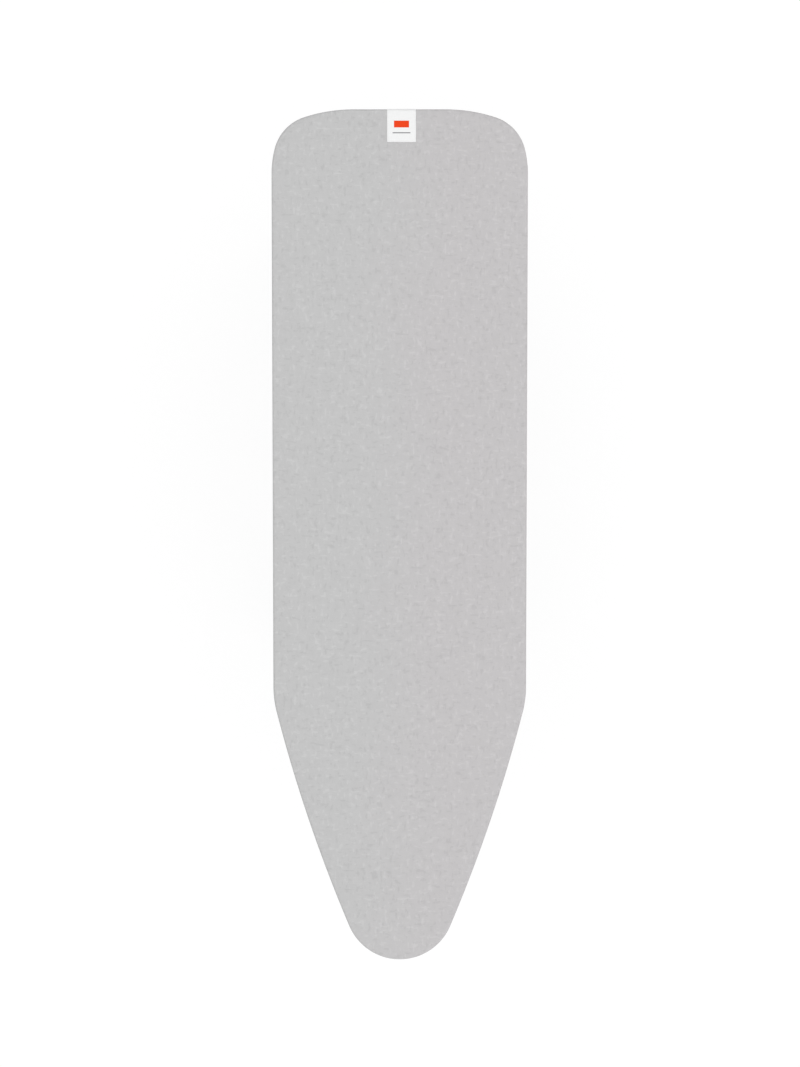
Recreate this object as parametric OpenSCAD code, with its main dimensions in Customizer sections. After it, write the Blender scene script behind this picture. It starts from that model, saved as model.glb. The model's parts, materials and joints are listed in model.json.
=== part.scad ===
// Folding ironing board. The nose points along -Y, the square end along +Y, and the feet stand on z = 0.
// Two crossed tube frames carry the top. The outer frame turns in brackets under the square end. The top
// of the inner frame slides in two rails towards the nose, and a clutch plate grips its pull rod at any
// height.

/* [Top outline] */
// Length of the board from nose tip to square end
board_l = 1240; // [1160:10:1320]
// Width across the square end
rear_w = 374; // [350:2:420]
// Width where the sides begin to taper
shoulder_w = 368.5; // [346:0.5:370]
// Radius of the nose
nose_r = 80; // [70:1:86]
// Angle of the taper to the board's axis, at the nose
taper_nose = 23; // [21:0.5:25]
// Angle of the taper to the board's axis, at the shoulder
taper_shoulder = 14.5; // [13:0.5:16]
// Radius of the shoulder, where side and taper meet
shoulder_r = 150; // [120:5:180]
// Radius of the tightest part of the square end's corners
corner_r = 65; // [60:1:75]
// Radius of the blend from the corner into the side
side_blend_r = 150; // [110:5:200]
// Radius of the blend from the corner into the rear edge
crown_r = 235; // [180:5:260]

/* [Top layers] */
// Thickness of the cotton cover
cover_t = 1; // [0.8:0.1:1.5]
// Thickness of the foam pad
foam_t = 5; // [3:0.5:8]
// Thickness of the felt underlay
felt_t = 3; // [2:0.5:5]
// Thickness of the perforated steel top
plate_t = 1; // [0.8:0.1:1.5]
// Width of the cover's hem, turned in under the board
hem_w = 38; // [34:1:39]
// Width of the elastic tape in the hem
elastic_w = 6; // [4:1:6]
// Gap all round between the cover and what it wraps
wrap_gap = 0.3; // [0.2:0.05:0.5]
// Radius of the steam holes in the top
vent_r = 5; // [4:0.5:6]
// Distance between steam holes
vent_pitch = 38; // [32:1:44]
// Width of the woven label
label_w = 42; // [30:1:50]
// Length of the woven label on the ironing side
label_l = 48; // [36:1:56]
// Thickness of the woven label
label_t = 0.5; // [0.3:0.1:0.6]
// Distance from the board's axis to the middle of the label
label_x = 2.6; // [-10:0.1:10]

/* [Top frame] */
// Height of the edge channel
rim_h = 14; // [12:1:15]
// Width of the edge channel's flanges
rim_flange = 14; // [10:1:16]
// Wall of the edge channel
rim_t = 1.2; // [1:0.1:1.6]
// Height of the hat-shaped cross braces
brace_h = 17; // [16.5:0.5:18]
// Width of a brace's flat bottom
brace_w = 26; // [24:1:28]
// Width of a brace's flanges
brace_flange = 11; // [10:1:13]
// Wall of the braces
brace_t = 1.2; // [1:0.1:1.6]
// Height of the slide rails
rail_h = 16; // [15:0.5:16.5]
// Distance from the board's axis to a rail's outer face
rail_x = 60; // [59:0.5:63]
// Width of a rail's flanges
rail_flange = 14; // [12:0.5:14.5]
// Wall of the rails
rail_t = 1.5; // [1.2:0.1:2]

/* [Legs] */
// Distance from the nose tip to the slider when the legs are folded
slider_inset = 135; // [120:1:150]
// Distance from the square end to the inner foot bar when the legs are folded
bar_inset = 75; // [65:1:90]
// Angle of the legs to the floor at this working height
leg_angle = 54; // [46:0.5:60]
// Angle of the legs to the floor at the greatest working height
highest_angle = 61; // [60:0.5:61.5]
// Distance from the square end to the fixed hinge
hinge_inset = 195; // [185:1:205]
// Depth of the pivots below the steel top
pivot_drop = 46; // [45.5:0.1:48]
// Outer diameter of the outer frame's tubes
tube_d = 25; // [22:0.5:25.5]
// Outer diameter of the inner frame's tubes
inner_d = 22; // [20:0.5:22.5]
// Wall of the leg tubes
tube_t = 1.5; // [1.2:0.1:2]
// Distance from the board's widest side to the outer frame's tubes
outer_inset = 47; // [46:0.5:50]
// Distance from the board's axis to the inner frame's tubes at the slider
top_x = 27; // [26:0.25:27.5]
// Thickness of the spacer between the frames at the crossing
spacer_t = 6; // [5:0.5:7]
// Side play of the inner frame between the spacers, and between the slide's cheeks
side_play = 0.5; // [0.3:0.1:0.6]
// Distance from the board's widest side to a foot's outer end
foot_inset = 5; // [3:0.5:6]
// Distance from the foot bar's centre to the floor
foot_drop = 16; // [15.5:0.1:16.3]
// Radius of a foot
foot_r = 16.5; // [16.4:0.1:17]
// Length of a foot
foot_l = 28; // [22:1:28]
// Diameter of the stretcher tube between the inner legs
stretcher_d = 19; // [16:1:22]
// Distance from the crossing to the stretcher
stretcher_at = 250; // [230:5:290]

/* [Pivots] */
// Radius of the pivot bolts and the slider axle
bolt_r = 4; // [3.5:0.1:4.5]
// Radial clearance of a bolt in its bore
bolt_play = 0.08; // [0.05:0.01:0.1]
// Thickness of a hinge bracket's ears
ear_t = 2; // [1.5:0.1:2.2]
// Gap between a tube and a hinge bracket's ear
ear_gap = 0.4; // [0.3:0.05:0.6]

/* [Height clutch] */
// Gap between the ends of the rails and the clutch housing
clutch_gap = 13; // [10:1:20]
// Radius of the pull rod
rod_r = 4; // [3.5:0.1:4.5]
// Thickness of the clutch plate
lever_t = 3; // [2.5:0.1:3.5]
// Angle by which the clutch plate leans on the rod
lever_lean = 8; // [6:0.5:9]
// Distance from the rod to the lever's pin
lever_pin_x = 26; // [25:0.5:28]
// Distance from the board's widest side to the lever's outer end
lever_inset = 13; // [12:0.5:16]
// Half the length of the clutch housing
housing_y = 20; // [18:0.5:21]
// Wall of the clutch housing
housing_t = 2; // [1.5:0.1:2.5]

/* [Transport latch] */
// Distance from the board's axis to the latch
latch_x = 60; // [50:1:75]
// Length of the latch arm
latch_l = 32; // [30:1:36]
// Radius of the latch hub
latch_r = 8; // [7:0.5:9]

/* [Hidden] */
$fn = 48;

cover_colour = [0.77, 0.77, 0.77];
white = [0.95, 0.95, 0.94];
foam_colour = [0.9, 0.88, 0.8];
felt_colour = [0.62, 0.62, 0.64];
steel_colour = [0.74, 0.75, 0.76];
frame_colour = [0.62, 0.63, 0.65];
zinc_colour = [0.7, 0.71, 0.73];
plastic_colour = [0.22, 0.23, 0.25];
nylon_colour = [0.9, 0.9, 0.88];

// How far a cutting shape runs past what it cuts.
over = 1;
sides = [-1, 1];
bolt_bore = bolt_r + bolt_play;

// ---- Heights of the layers and places of the pivots. ----
hinge_y = board_l / 2 - hinge_inset;
folded_y = slider_inset - board_l / 2;
leg_upper = (hinge_y - folded_y) / 2;
leg_lower = board_l / 2 - bar_inset - (hinge_y - leg_upper);
leg_l = leg_upper + leg_lower;
z_pivot = foot_drop + leg_l * sin(leg_angle);
z_plate = z_pivot + pivot_drop;
z_felt = z_plate + plate_t;
z_foam = z_felt + felt_t;
z_cover = z_foam + foam_t;
z_top = z_cover + cover_t;
z_hem = z_plate - rim_h - wrap_gap;
z_rail = z_plate - brace_h;
wrap = cover_t + wrap_gap;
outer_x = rear_w / 2 - outer_inset;
foot_x = rear_w / 2 - foot_inset;
lever_end_x = rear_w / 2 - lever_inset;
function slider_at(angle) = hinge_y - 2 * leg_upper * cos(angle);
slider_y = slider_at(leg_angle);
inner_x = outer_x - tube_d / 2 - spacer_t - side_play - inner_d / 2;

// ---- Outline of the top: arcs that meet at a common tangent, as [centre, radius, from, to, steps]. ----
function unit(a) = [cos(a), sin(a)];
side_angle = 14;
corner_angle = 72;
flank_r = (shoulder_w / 2 - nose_r * cos(taper_nose) + shoulder_r * cos(taper_shoulder) - shoulder_r)
    / (cos(taper_shoulder) - cos(taper_nose));
nose_c = [0, nose_r - board_l / 2];
flank_c = nose_c + (nose_r - flank_r) * unit(-taper_nose);
shoulder_c = flank_c + (flank_r - shoulder_r) * unit(-taper_shoulder);
corner_rise = (side_blend_r - corner_r) * sin(side_angle) + (corner_r - crown_r) * sin(corner_angle);
blend_c = [rear_w / 2 - side_blend_r, board_l / 2 - crown_r - corner_rise];
corner_c = blend_c + (side_blend_r - corner_r) * unit(side_angle);
crown_c = corner_c + (corner_r - crown_r) * unit(corner_angle);
outline_arcs = [
    [nose_c, nose_r, -90, -taper_nose, 12],
    [flank_c, flank_r, -taper_nose, -taper_shoulder, 6],
    [shoulder_c, shoulder_r, -taper_shoulder, 0, 4],
    [blend_c, side_blend_r, 0, side_angle, 4],
    [corner_c, corner_r, side_angle, corner_angle, 8],
    [crown_c, crown_r, corner_angle, 90, 5]];

// Points of the outline moved inwards by inset. The straight side joins the third arc to the fourth.
function arc_points(arc, inset, first) =
    [for (i = [first:arc[4]]) arc[0] + (arc[1] - inset) * unit(arc[2] + (arc[3] - arc[2]) * i / arc[4])];
function right_side(inset) = [for (k = [0:len(outline_arcs) - 1])
    each arc_points(outline_arcs[k], inset, k == 0 || k == 3 ? 0 : 1)];
function outline(inset) = let (side = right_side(inset))
    concat(side, [for (i = [len(side) - 1:-1:1]) [-side[i][0], side[i][1]]]);

// Half the width inside the outline at a distance y from the board's centre.
function half_width(y, inset) = let (side = right_side(inset))
    max([for (i = [1:len(side) - 1]) let (a = side[i - 1], b = side[i])
        if (a[1] <= y && b[1] > y) a[0] + (b[0] - a[0]) * (y - a[1]) / (b[1] - a[1])]);

module slab(inset, low, high) {
    translate([0, 0, low]) linear_extrude(high - low) polygon(outline(inset));
}
module ring(outer_inset, inner_inset, low, high) {
    translate([0, 0, low]) linear_extrude(high - low) difference() {
        polygon(outline(outer_inset));
        polygon(outline(inner_inset));
    }
}
// Bars along the axes: along_x is centred, along_y starts at y = 0.
module along_x(length, r) { rotate([0, 90, 0]) cylinder(h = length, r = r, center = true); }
module along_y(length, r) { rotate([-90, 0, 0]) cylinder(h = length, r = r); }
module flip_x(side) { mirror([side < 0 ? 1 : 0, 0, 0]) children(); }

// ---- Cover, pads and steel top. ----
module label_shape(low, high) {
    translate([label_x - label_w / 2, board_l / 2 - label_l, low])
        cube([label_w, label_l + over, high - low]);
}
module cover() {
    color(cover_colour) difference() {
        union() {
            slab(0, z_cover, z_top);
            ring(0, cover_t, z_hem - cover_t, z_cover);
            ring(0, hem_w, z_hem - cover_t, z_hem);
        }
        label_shape(z_top - label_t, z_top + over);
    }
}
module hem_elastic() {
    color(white) ring(hem_w - elastic_w, hem_w, z_hem, z_hem + cover_t);
}
module label() {
    color(white) intersection() {
        label_shape(z_top - label_t, z_top);
        slab(0, z_cover, z_top);
    }
}
module foam_pad() { color(foam_colour) slab(wrap, z_foam, z_cover); }
module felt_underlay() { color(felt_colour) slab(wrap, z_felt, z_foam); }

// ---- Places of the rails, the clutch, the latch and the braces along the board. ----
block_l = 44;
stop_l = 5;
end_travel = 1.5;
rail_start_y = slider_at(highest_angle) + block_l / 2 + end_travel + stop_l;
rail_end_y = folded_y - block_l / 2 - end_travel - stop_l;
clutch_y = rail_start_y + clutch_gap + housing_y;
latch_gap = 1.5;
latch_y = board_l / 2 - bar_inset - tube_d / 2 - latch_r - latch_gap;
brace_gap = 2;
clutch_brace_in = 22;
nose_brace_in = 52;
function brace_half(y) =
    min(half_width(y - brace_w / 2, hem_w), half_width(y + brace_w / 2, hem_w)) - brace_gap;
brace_ys = [latch_y, hinge_y, (hinge_y + clutch_y) / 2, rail_start_y - clutch_brace_in,
    (rail_start_y + rail_end_y) / 2, rail_end_y + nose_brace_in];
brace_names = ["brace_rear", "brace_hinge", "brace_middle", "brace_clutch", "brace_front", "brace_nose"];

// ---- Rivets, as [x, y] places under the steel top. ----
rivet_r = 2;
rivet_head_r = 4;
rivet_head_h = 1.4;
rivet_dome = 1;
rivet_row = brace_w / 2 + brace_flange / 2;
rivet_edge = 9;
brace_rivets = [for (y = brace_ys) for (sx = sides) for (sy = sides)
    [sx * (brace_half(y) - rivet_edge), y + sy * rivet_row]];
housing_rivets = [for (sy = sides) [0, clutch_y + sy * (housing_y - rivet_edge)]];
all_rivets = concat(brace_rivets, housing_rivets);
module rivet(grip) {
    translate([0, 0, -grip]) cylinder(h = grip + plate_t, r = rivet_r);
    translate([0, 0, -grip - rivet_head_h])
        cylinder(h = rivet_head_h, r1 = rivet_head_r - rivet_dome, r2 = rivet_head_r);
}
module rivet_holes(places, depth) {
    for (p = places) translate([p[0], p[1], z_plate - depth - over])
        cylinder(h = depth + over + plate_t + over, r = rivet_r + bolt_play);
}
module frame_rivets() {
    color(zinc_colour) {
        for (p = brace_rivets) translate([p[0], p[1], z_plate]) rivet(brace_t);
        for (p = housing_rivets) translate([p[0], p[1], z_plate]) rivet(housing_t);
    }
}

// Steam holes stand on a triangular grid, clear of the edge and of the rivets.
vent_rim = 5;
vent_land = 1;
row_pitch = vent_pitch * sin(60);
vent_rows = floor(board_l / 2 / row_pitch);
vent_columns = ceil(rear_w / 2 / vent_pitch);
vent_edge = wrap + rim_flange + vent_r + vent_rim;
vent_clear = vent_r + rivet_head_r + vent_land;
function clear_of_rivets(p) = min([for (r = all_rivets) norm(r - p)]) > vent_clear;
vent_places = [for (j = [-vent_rows:vent_rows]) let (y = j * row_pitch, shift = j % 2 == 0 ? 0 : 0.5)
    if (abs(y) < board_l / 2 - vent_edge - 2 * vent_r) for (i = [-vent_columns:vent_columns])
        let (x = (i + shift) * vent_pitch)
        if (abs(x) < half_width(y, vent_edge) && clear_of_rivets([x, y])) [x, y]];
module top_plate() {
    color(steel_colour) difference() {
        translate([0, 0, z_plate]) linear_extrude(plate_t) difference() {
            polygon(outline(wrap));
            for (p = vent_places) translate(p) circle(vent_r);
        }
        rivet_holes(all_rivets, 0);
    }
}
module rim_channel() {
    color(frame_colour) {
        ring(wrap, wrap + rim_t, z_plate - rim_h, z_plate);
        ring(wrap, wrap + rim_flange, z_plate - rim_t, z_plate);
        ring(wrap, wrap + rim_flange, z_plate - rim_h, z_plate - rim_h + rim_t);
    }
}

// ---- Braces across the board, and the slide rails under them. ----
module hat_section(length) {
    foot = brace_w / 2 + brace_flange;
    wall = brace_w / 2;
    rotate([90, 0, 90]) linear_extrude(length, center = true) difference() {
        polygon([[-foot, 0], [foot, 0], [foot, -brace_t], [wall, -brace_t], [wall, -brace_h],
            [-wall, -brace_h], [-wall, -brace_t], [-foot, -brace_t]]);
        translate([brace_t - wall, brace_t - brace_h])
            square([brace_w - 2 * brace_t, brace_h - brace_t + over]);
    }
}
module brace(k) {
    y = brace_ys[k];
    color(frame_colour) difference() {
        translate([0, y, z_plate]) hat_section(2 * brace_half(y));
        rivet_holes([for (p = brace_rivets) if (abs(p[1] - y) < brace_w) p], brace_t);
        if (k == 0) translate([latch_x, y, z_rail - over]) cylinder(h = brace_t + 2 * over, r = latch_bore);
    }
}
module rail(side) {
    length = rail_start_y - rail_end_y;
    start = [rail_x - rail_flange, rail_end_y, z_rail - rail_h];
    color(frame_colour) flip_x(side) translate(start) difference() {
        cube([rail_flange, length, rail_h]);
        translate([-over, -over, rail_t])
            cube([rail_flange - rail_t + over, length + 2 * over, rail_h - 2 * rail_t]);
    }
}
module rail_stops() {
    color(plastic_colour) for (side = sides) for (y = [rail_end_y, rail_start_y - stop_l]) flip_x(side)
        translate([rail_x - rail_flange, y, z_rail - rail_h + rail_t])
            cube([rail_flange - rail_t, stop_l, rail_h - 2 * rail_t]);
}

// ---- Bolts and nuts along the X axis, for one side and its mirror image. ----
head_h = 5;
nut_h = 6.5;
hex_r = 7.2;
module bolt(from, to, side) {
    flip_x(side) {
        translate([(from + to) / 2, 0, 0]) along_x(to - from, bolt_r);
        translate([to, 0, 0]) rotate([0, 90, 0]) cylinder(h = head_h, r = hex_r, $fn = 6);
    }
}
// A nut that ends at x = to, with its bore cut to the bolt.
module nut(to, side) {
    flip_x(side) translate([to - nut_h, 0, 0]) difference() {
        rotate([0, 90, 0]) cylinder(h = nut_h, r = hex_r, $fn = 6);
        translate([nut_h / 2, 0, 0]) along_x(nut_h + 2 * over, bolt_r);
    }
}

// ---- Fixed hinge: U-shaped brackets under the hinge brace, round the tops of the outer frame. ----
ear_x = tube_d / 2 + ear_gap;
ear_half = 12;
ear_low = 11;
module hinge_bracket(side) {
    high = pivot_drop - brace_h;
    color(zinc_colour) translate([side * outer_x, hinge_y, z_pivot]) difference() {
        union() {
            for (sx = sides) translate([sx * (ear_x + ear_t / 2), 0, 0]) {
                along_x(ear_t, ear_low);
                translate([-ear_t / 2, -ear_low, 0]) cube([ear_t, 2 * ear_low, high]);
            }
            translate([-ear_x - ear_t, -ear_half, high - ear_t])
                cube([2 * (ear_x + ear_t), 2 * ear_half, ear_t]);
        }
        along_x(2 * (ear_x + ear_t + over), bolt_bore);
    }
}
// The hinge bolts have flat heads on the inside, where the folded inner frame lies close to the brackets.
flat_head_h = 2;
flat_head_r = 7;
hinge_in = outer_x - ear_x - ear_t;
hinge_out = outer_x + ear_x + ear_t + nut_h;
module hinge_bolts() {
    color(zinc_colour) for (side = sides) translate([0, hinge_y, z_pivot]) flip_x(side) {
        translate([(hinge_in + hinge_out) / 2, 0, 0]) along_x(hinge_out - hinge_in, bolt_r);
        translate([hinge_in - flat_head_h / 2, 0, 0]) along_x(flat_head_h, flat_head_r);
    }
}
module hinge_nuts() {
    color(zinc_colour) for (side = sides) translate([0, hinge_y, z_pivot]) nut(hinge_out, side);
}

// ---- Height clutch: a leaning plate that grips the pull rod until its lever stands it upright. ----
rod_play = 0.4;
rod_hole_r = rod_r + rod_play;
pin_r = 2.5;
pin_head_h = 1.5;
pin_head_r = pin_r + 2;
barrel_r = 5;
barrel_play = 0.4;
tab_land = 5;
plate_land = 7;
housing_end_x = 22;
plate_x = 14;
lever_top = 17;
lever_low = pivot_drop + rod_hole_r + plate_land;
housing_low = lever_low + barrel_play + housing_t;
arm_h = 11;
tab_w = 14;
tab_low = 48;
lever_reach = lever_end_x + lever_pin_x;
module clutch_housing() {
    tab_x = lever_pin_x + barrel_r + tab_land;
    color(zinc_colour) translate([0, clutch_y, z_plate]) difference() {
        union() {
            translate([-tab_x, -housing_y, -housing_t])
                cube([tab_x + housing_end_x, 2 * housing_y, housing_t]);
            for (y = [-housing_y, housing_y - housing_t])
                translate([-tab_x, y, -housing_low]) cube([tab_x + housing_end_x, housing_t, housing_low]);
            translate([-tab_x, -housing_y, -housing_low])
                cube([2 * (barrel_r + tab_land), 2 * housing_y, housing_t]);
        }
        translate([0, -housing_y - over, -pivot_drop]) along_y(2 * (housing_y + over), rod_hole_r);
        translate([-lever_pin_x, 0, -housing_low - over]) cylinder(h = housing_low + 2 * over, r = pin_r);
        translate([0, -clutch_y, -z_plate]) rivet_holes(housing_rivets, housing_t);
    }
}
module lever_pin() {
    color(zinc_colour) translate([-lever_pin_x, clutch_y, z_plate - housing_low]) {
        cylinder(h = housing_low, r = pin_r);
        translate([0, 0, -pin_head_h]) cylinder(h = pin_head_h, r = pin_head_r);
    }
}
module lever_frame() {
    translate([-lever_pin_x, clutch_y, z_plate]) rotate([0, 0, -lever_lean]) children();
}
module clutch_lever() {
    color(steel_colour) lever_frame() difference() {
        union() {
            rotate([90, 0, 0]) linear_extrude(lever_t, center = true) polygon([
                [0, -lever_low], [lever_pin_x + plate_x, -lever_low],
                [lever_pin_x + plate_x, -lever_top - arm_h],
                [lever_reach - tab_w, -lever_top - arm_h], [lever_reach - tab_w, -tab_low],
                [lever_reach, -tab_low], [lever_reach, -lever_top], [0, -lever_top]]);
            translate([0, 0, -lever_low]) cylinder(h = lever_low - housing_t - barrel_play, r = barrel_r);
        }
        translate([0, 0, -housing_low]) cylinder(h = housing_low, r = pin_r + bolt_play);
        translate([lever_pin_x / cos(lever_lean), -lever_t - over, -pivot_drop])
            along_y(2 * (lever_t + over), rod_hole_r);
    }
}
grip_t = 12;
grip_w = 22;
grip_low = 54;
grip_fit = 0.05;
module lever_grip() {
    high = lever_top + arm_h + over;
    straight = grip_w - grip_t;
    color(plastic_colour) lever_frame() difference() {
        translate([lever_reach - tab_w / 2, 0, -grip_low]) {
            translate([-straight / 2, -grip_t / 2, 0]) cube([straight, grip_t, grip_low - high]);
            for (s = sides) translate([s * straight / 2, 0, 0]) cylinder(h = grip_low - high, r = grip_t / 2);
        }
        translate([lever_reach - tab_w - grip_fit, -lever_t / 2 - grip_fit, -tab_low - grip_fit])
            cube([tab_w + 2 * grip_fit, lever_t + 2 * grip_fit, tab_low]);
    }
}

// The spring pushes the clutch plate away from the housing's rear wall. It is a round wire on a helix.
spring_r = 6.6;
wire_r = 0.7;
spring_turns = 5;
turn_steps = 14;
wire_steps = 6;
spring_seat = 0.3;
wall_gap = 0.05;
plate_face_y = lever_t / 2 / cos(lever_lean) - (lever_pin_x - spring_r) * tan(lever_lean);
spring_from = plate_face_y + wire_r + spring_seat;
spring_to = housing_y - housing_t - wire_r - wall_gap;
function spring_point(t, k) =
    let (a = 360 * spring_turns * t, b = 360 * k / wire_steps, r = spring_r + wire_r * cos(b))
    [r * cos(a), spring_from + (spring_to - spring_from) * t + wire_r * sin(b), r * sin(a)];
module clutch_spring() {
    rings = spring_turns * turn_steps;
    points = [for (i = [0:rings]) for (k = [0:wire_steps - 1]) spring_point(i / rings, k)];
    skin = [for (i = [0:rings - 1]) for (k = [0:wire_steps - 1]) let (n = (k + 1) % wire_steps)
        [wire_steps * i + k, wire_steps * i + n, wire_steps * (i + 1) + n, wire_steps * (i + 1) + k]];
    first = [for (k = [wire_steps - 1:-1:0]) k];
    last = [for (k = [0:wire_steps - 1]) wire_steps * rings + k];
    color(steel_colour) translate([0, clutch_y, z_pivot]) polyhedron(points, concat(skin, [first, last]));
}

// ---- Transport latch: turns on a screw in the rear brace and reaches under the folded foot bar. ----
latch_screw_r = 3;
latch_bore = latch_screw_r + bolt_play;
latch_arm_w = 14;
latch_arm_t = 4;
latch_play = 0.4;
bar_play = 0.8;
screw_flange_h = 2;
screw_nut_h = 4;
screw_head_r = latch_screw_r + 3;
latch_arm_low = pivot_drop + tube_d / 2 + bar_play + latch_arm_t;
latch_hub_h = latch_arm_low - brace_h - latch_play;
module transport_latch() {
    arm = latch_l - latch_arm_w / 2;
    color(plastic_colour) translate([latch_x, latch_y, z_plate - latch_arm_low]) difference() {
        union() {
            cylinder(h = latch_hub_h, r = latch_r);
            translate([0, -latch_arm_w / 2, 0]) cube([arm, latch_arm_w, latch_arm_t]);
            translate([arm, 0, 0]) cylinder(h = latch_arm_t, r = latch_arm_w / 2);
        }
        translate([0, 0, -over]) cylinder(h = latch_hub_h + 2 * over, r = latch_bore);
    }
}
module latch_screw() {
    low = latch_arm_low + latch_play;
    color(zinc_colour) translate([latch_x, latch_y, z_plate]) {
        translate([0, 0, -low]) cylinder(h = low - brace_h + brace_t, r = latch_screw_r);
        translate([0, 0, -low - screw_flange_h]) cylinder(h = screw_flange_h, r = screw_head_r);
        translate([0, 0, -brace_h + brace_t]) cylinder(h = screw_nut_h, r = screw_head_r, $fn = 6);
    }
}

// ---- Parts that both leg frames have: foot bars, feet and tube plugs. ----
foot_cap = 5;
bar_half = foot_x - foot_cap;
module foot_bar(reach) {
    translate([0, reach, 0]) difference() {
        along_x(2 * bar_half, tube_d / 2);
        along_x(2 * (bar_half + over), tube_d / 2 - tube_t);
    }
}
// Feet on the ends of a foot bar. They are turned back by the frame's own angle, so their flats lie level.
module feet(reach, turn) {
    for (side = sides) translate([0, reach, 0]) rotate([turn, 0, 0]) flip_x(side) difference() {
        translate([foot_x - foot_l / 2, 0, 0]) along_x(foot_l, foot_r);
        translate([bar_half - foot_l / 2, 0, 0]) along_x(foot_l, tube_d / 2);
        translate([foot_x - foot_l - over, -foot_r, -foot_drop - foot_r])
            cube([foot_l + 2 * over, 2 * foot_r, foot_r]);
    }
}
tube_tip = 12;
plug_head = 1.5;
plug_rim = 0.4;
plug_gap = 1;
plug_l = tube_tip - bolt_bore - plug_gap;
module tube_plug(d, length) {
    along_y(plug_head, d / 2 - plug_rim);
    translate([0, -length, 0]) along_y(length, d / 2 - tube_t);
}

// ---- Outer frame, drawn folded flat from its hinge towards the nose and then turned down. ----
module outer_frame() {
    translate([0, hinge_y, z_pivot]) rotate([leg_angle, 0, 0]) children();
}
module outer_tube(side) {
    color(frame_colour) outer_frame() flip_x(side) difference() {
        translate([outer_x, -leg_l, 0]) along_y(leg_l + tube_tip, tube_d / 2);
        translate([outer_x, -leg_l - over, 0]) along_y(leg_l + tube_tip + 2 * over, tube_d / 2 - tube_t);
        translate([0, -leg_l, 0]) along_x(2 * foot_x, tube_d / 2);
        for (y = [0, -leg_upper]) translate([outer_x, y, 0]) along_x(tube_d + 2 * over, bolt_bore);
    }
}
module outer_foot_bar() { color(frame_colour) outer_frame() foot_bar(-leg_l); }
module outer_feet() { color(plastic_colour) outer_frame() feet(-leg_l, -leg_angle); }
module outer_tube_plugs() {
    color(plastic_colour) outer_frame() for (side = sides)
        translate([side * outer_x, tube_tip, 0]) tube_plug(tube_d, plug_l);
}

// ---- Crossing of the two frames: bolts in the outer frame, with saddle spacers and nuts. ----
inner_face = inner_x - inner_d / 2;
spacer_edge = 2.5;
module crossing_bolts() {
    color(zinc_colour) outer_frame() for (side = sides) translate([0, -leg_upper, 0])
        bolt(inner_face - side_play - nut_h, outer_x + tube_d / 2, side);
}
module crossing_spacers() {
    color(nylon_colour) outer_frame() for (side = sides) flip_x(side)
        translate([0, -leg_upper, 0]) difference() {
            translate([outer_x - tube_d / 2 - spacer_t, 0, 0]) rotate([0, 90, 0])
                cylinder(h = tube_d / 2, r = tube_d / 2 - spacer_edge);
            translate([outer_x, -tube_d, 0]) along_y(2 * tube_d, tube_d / 2);
            translate([outer_x - tube_d / 2, 0, 0]) along_x(tube_d, bolt_r);
        }
}
module crossing_nuts() {
    color(zinc_colour) outer_frame() for (side = sides) translate([0, -leg_upper, 0])
        nut(inner_face - side_play, side);
}

// ---- Inner frame, drawn folded flat from the slider towards the square end and then turned down. ----
module inner_frame() {
    translate([0, slider_y, z_pivot]) rotate([-leg_angle, 0, 0]) children();
}
// Each inner leg is two straight tubes, welded at a mitre above the crossing. The upper one leans inwards.
weld_gap = 30;
weld_at = leg_upper - weld_gap;
lean = atan((inner_x - top_x) / weld_at);
module along_lean() {
    translate([top_x, 0, 0]) rotate([0, 0, -lean]) children();
}
// What lies on one side of the mitre, as a block to cut with.
module past_mitre(turn) {
    translate([inner_x, weld_at, 0]) rotate([0, 0, turn - lean / 2]) translate([-inner_d, 0, -inner_d])
        cube([2 * inner_d, 3 * inner_d, 2 * inner_d]);
}
module inner_upper_tube(side) {
    length = tube_tip + weld_at / cos(lean) + inner_d;
    color(frame_colour) inner_frame() flip_x(side) difference() {
        along_lean() translate([0, -tube_tip, 0]) along_y(length, inner_d / 2);
        along_lean() translate([0, -tube_tip - over, 0]) along_y(length + 2 * over, inner_d / 2 - tube_t);
        past_mitre(0);
        translate([top_x, 0, 0]) along_x(2 * inner_d, bolt_bore);
    }
}
module inner_lower_tube(side) {
    length = leg_l - weld_at + inner_d;
    color(frame_colour) inner_frame() flip_x(side) difference() {
        translate([inner_x, leg_l - length, 0]) along_y(length, inner_d / 2);
        translate([inner_x, leg_l - length - over, 0]) along_y(length + 2 * over, inner_d / 2 - tube_t);
        past_mitre(180);
        translate([0, leg_l, 0]) along_x(2 * foot_x, tube_d / 2);
        translate([inner_x, leg_upper, 0]) along_x(inner_d + 2 * over, bolt_bore);
    }
}
module inner_foot_bar() { color(frame_colour) inner_frame() foot_bar(leg_l); }
module inner_feet() { color(plastic_colour) inner_frame() feet(leg_l, leg_angle); }
module inner_tube_plugs() {
    length = plug_l - inner_d / 2 * tan(lean);
    color(plastic_colour) inner_frame() for (side = sides) flip_x(side)
        along_lean() translate([0, -tube_tip, 0]) mirror([0, 1, 0]) tube_plug(inner_d, length);
}
module stretcher_tube() {
    color(frame_colour) inner_frame() translate([0, leg_upper + stretcher_at, 0]) difference() {
        along_x(2 * inner_x, stretcher_d / 2);
        along_x(2 * (inner_x + over), stretcher_d / 2 - tube_t);
        for (side = sides) translate([side * inner_x, -stretcher_d, 0]) along_y(2 * stretcher_d, inner_d / 2);
    }
}

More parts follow.
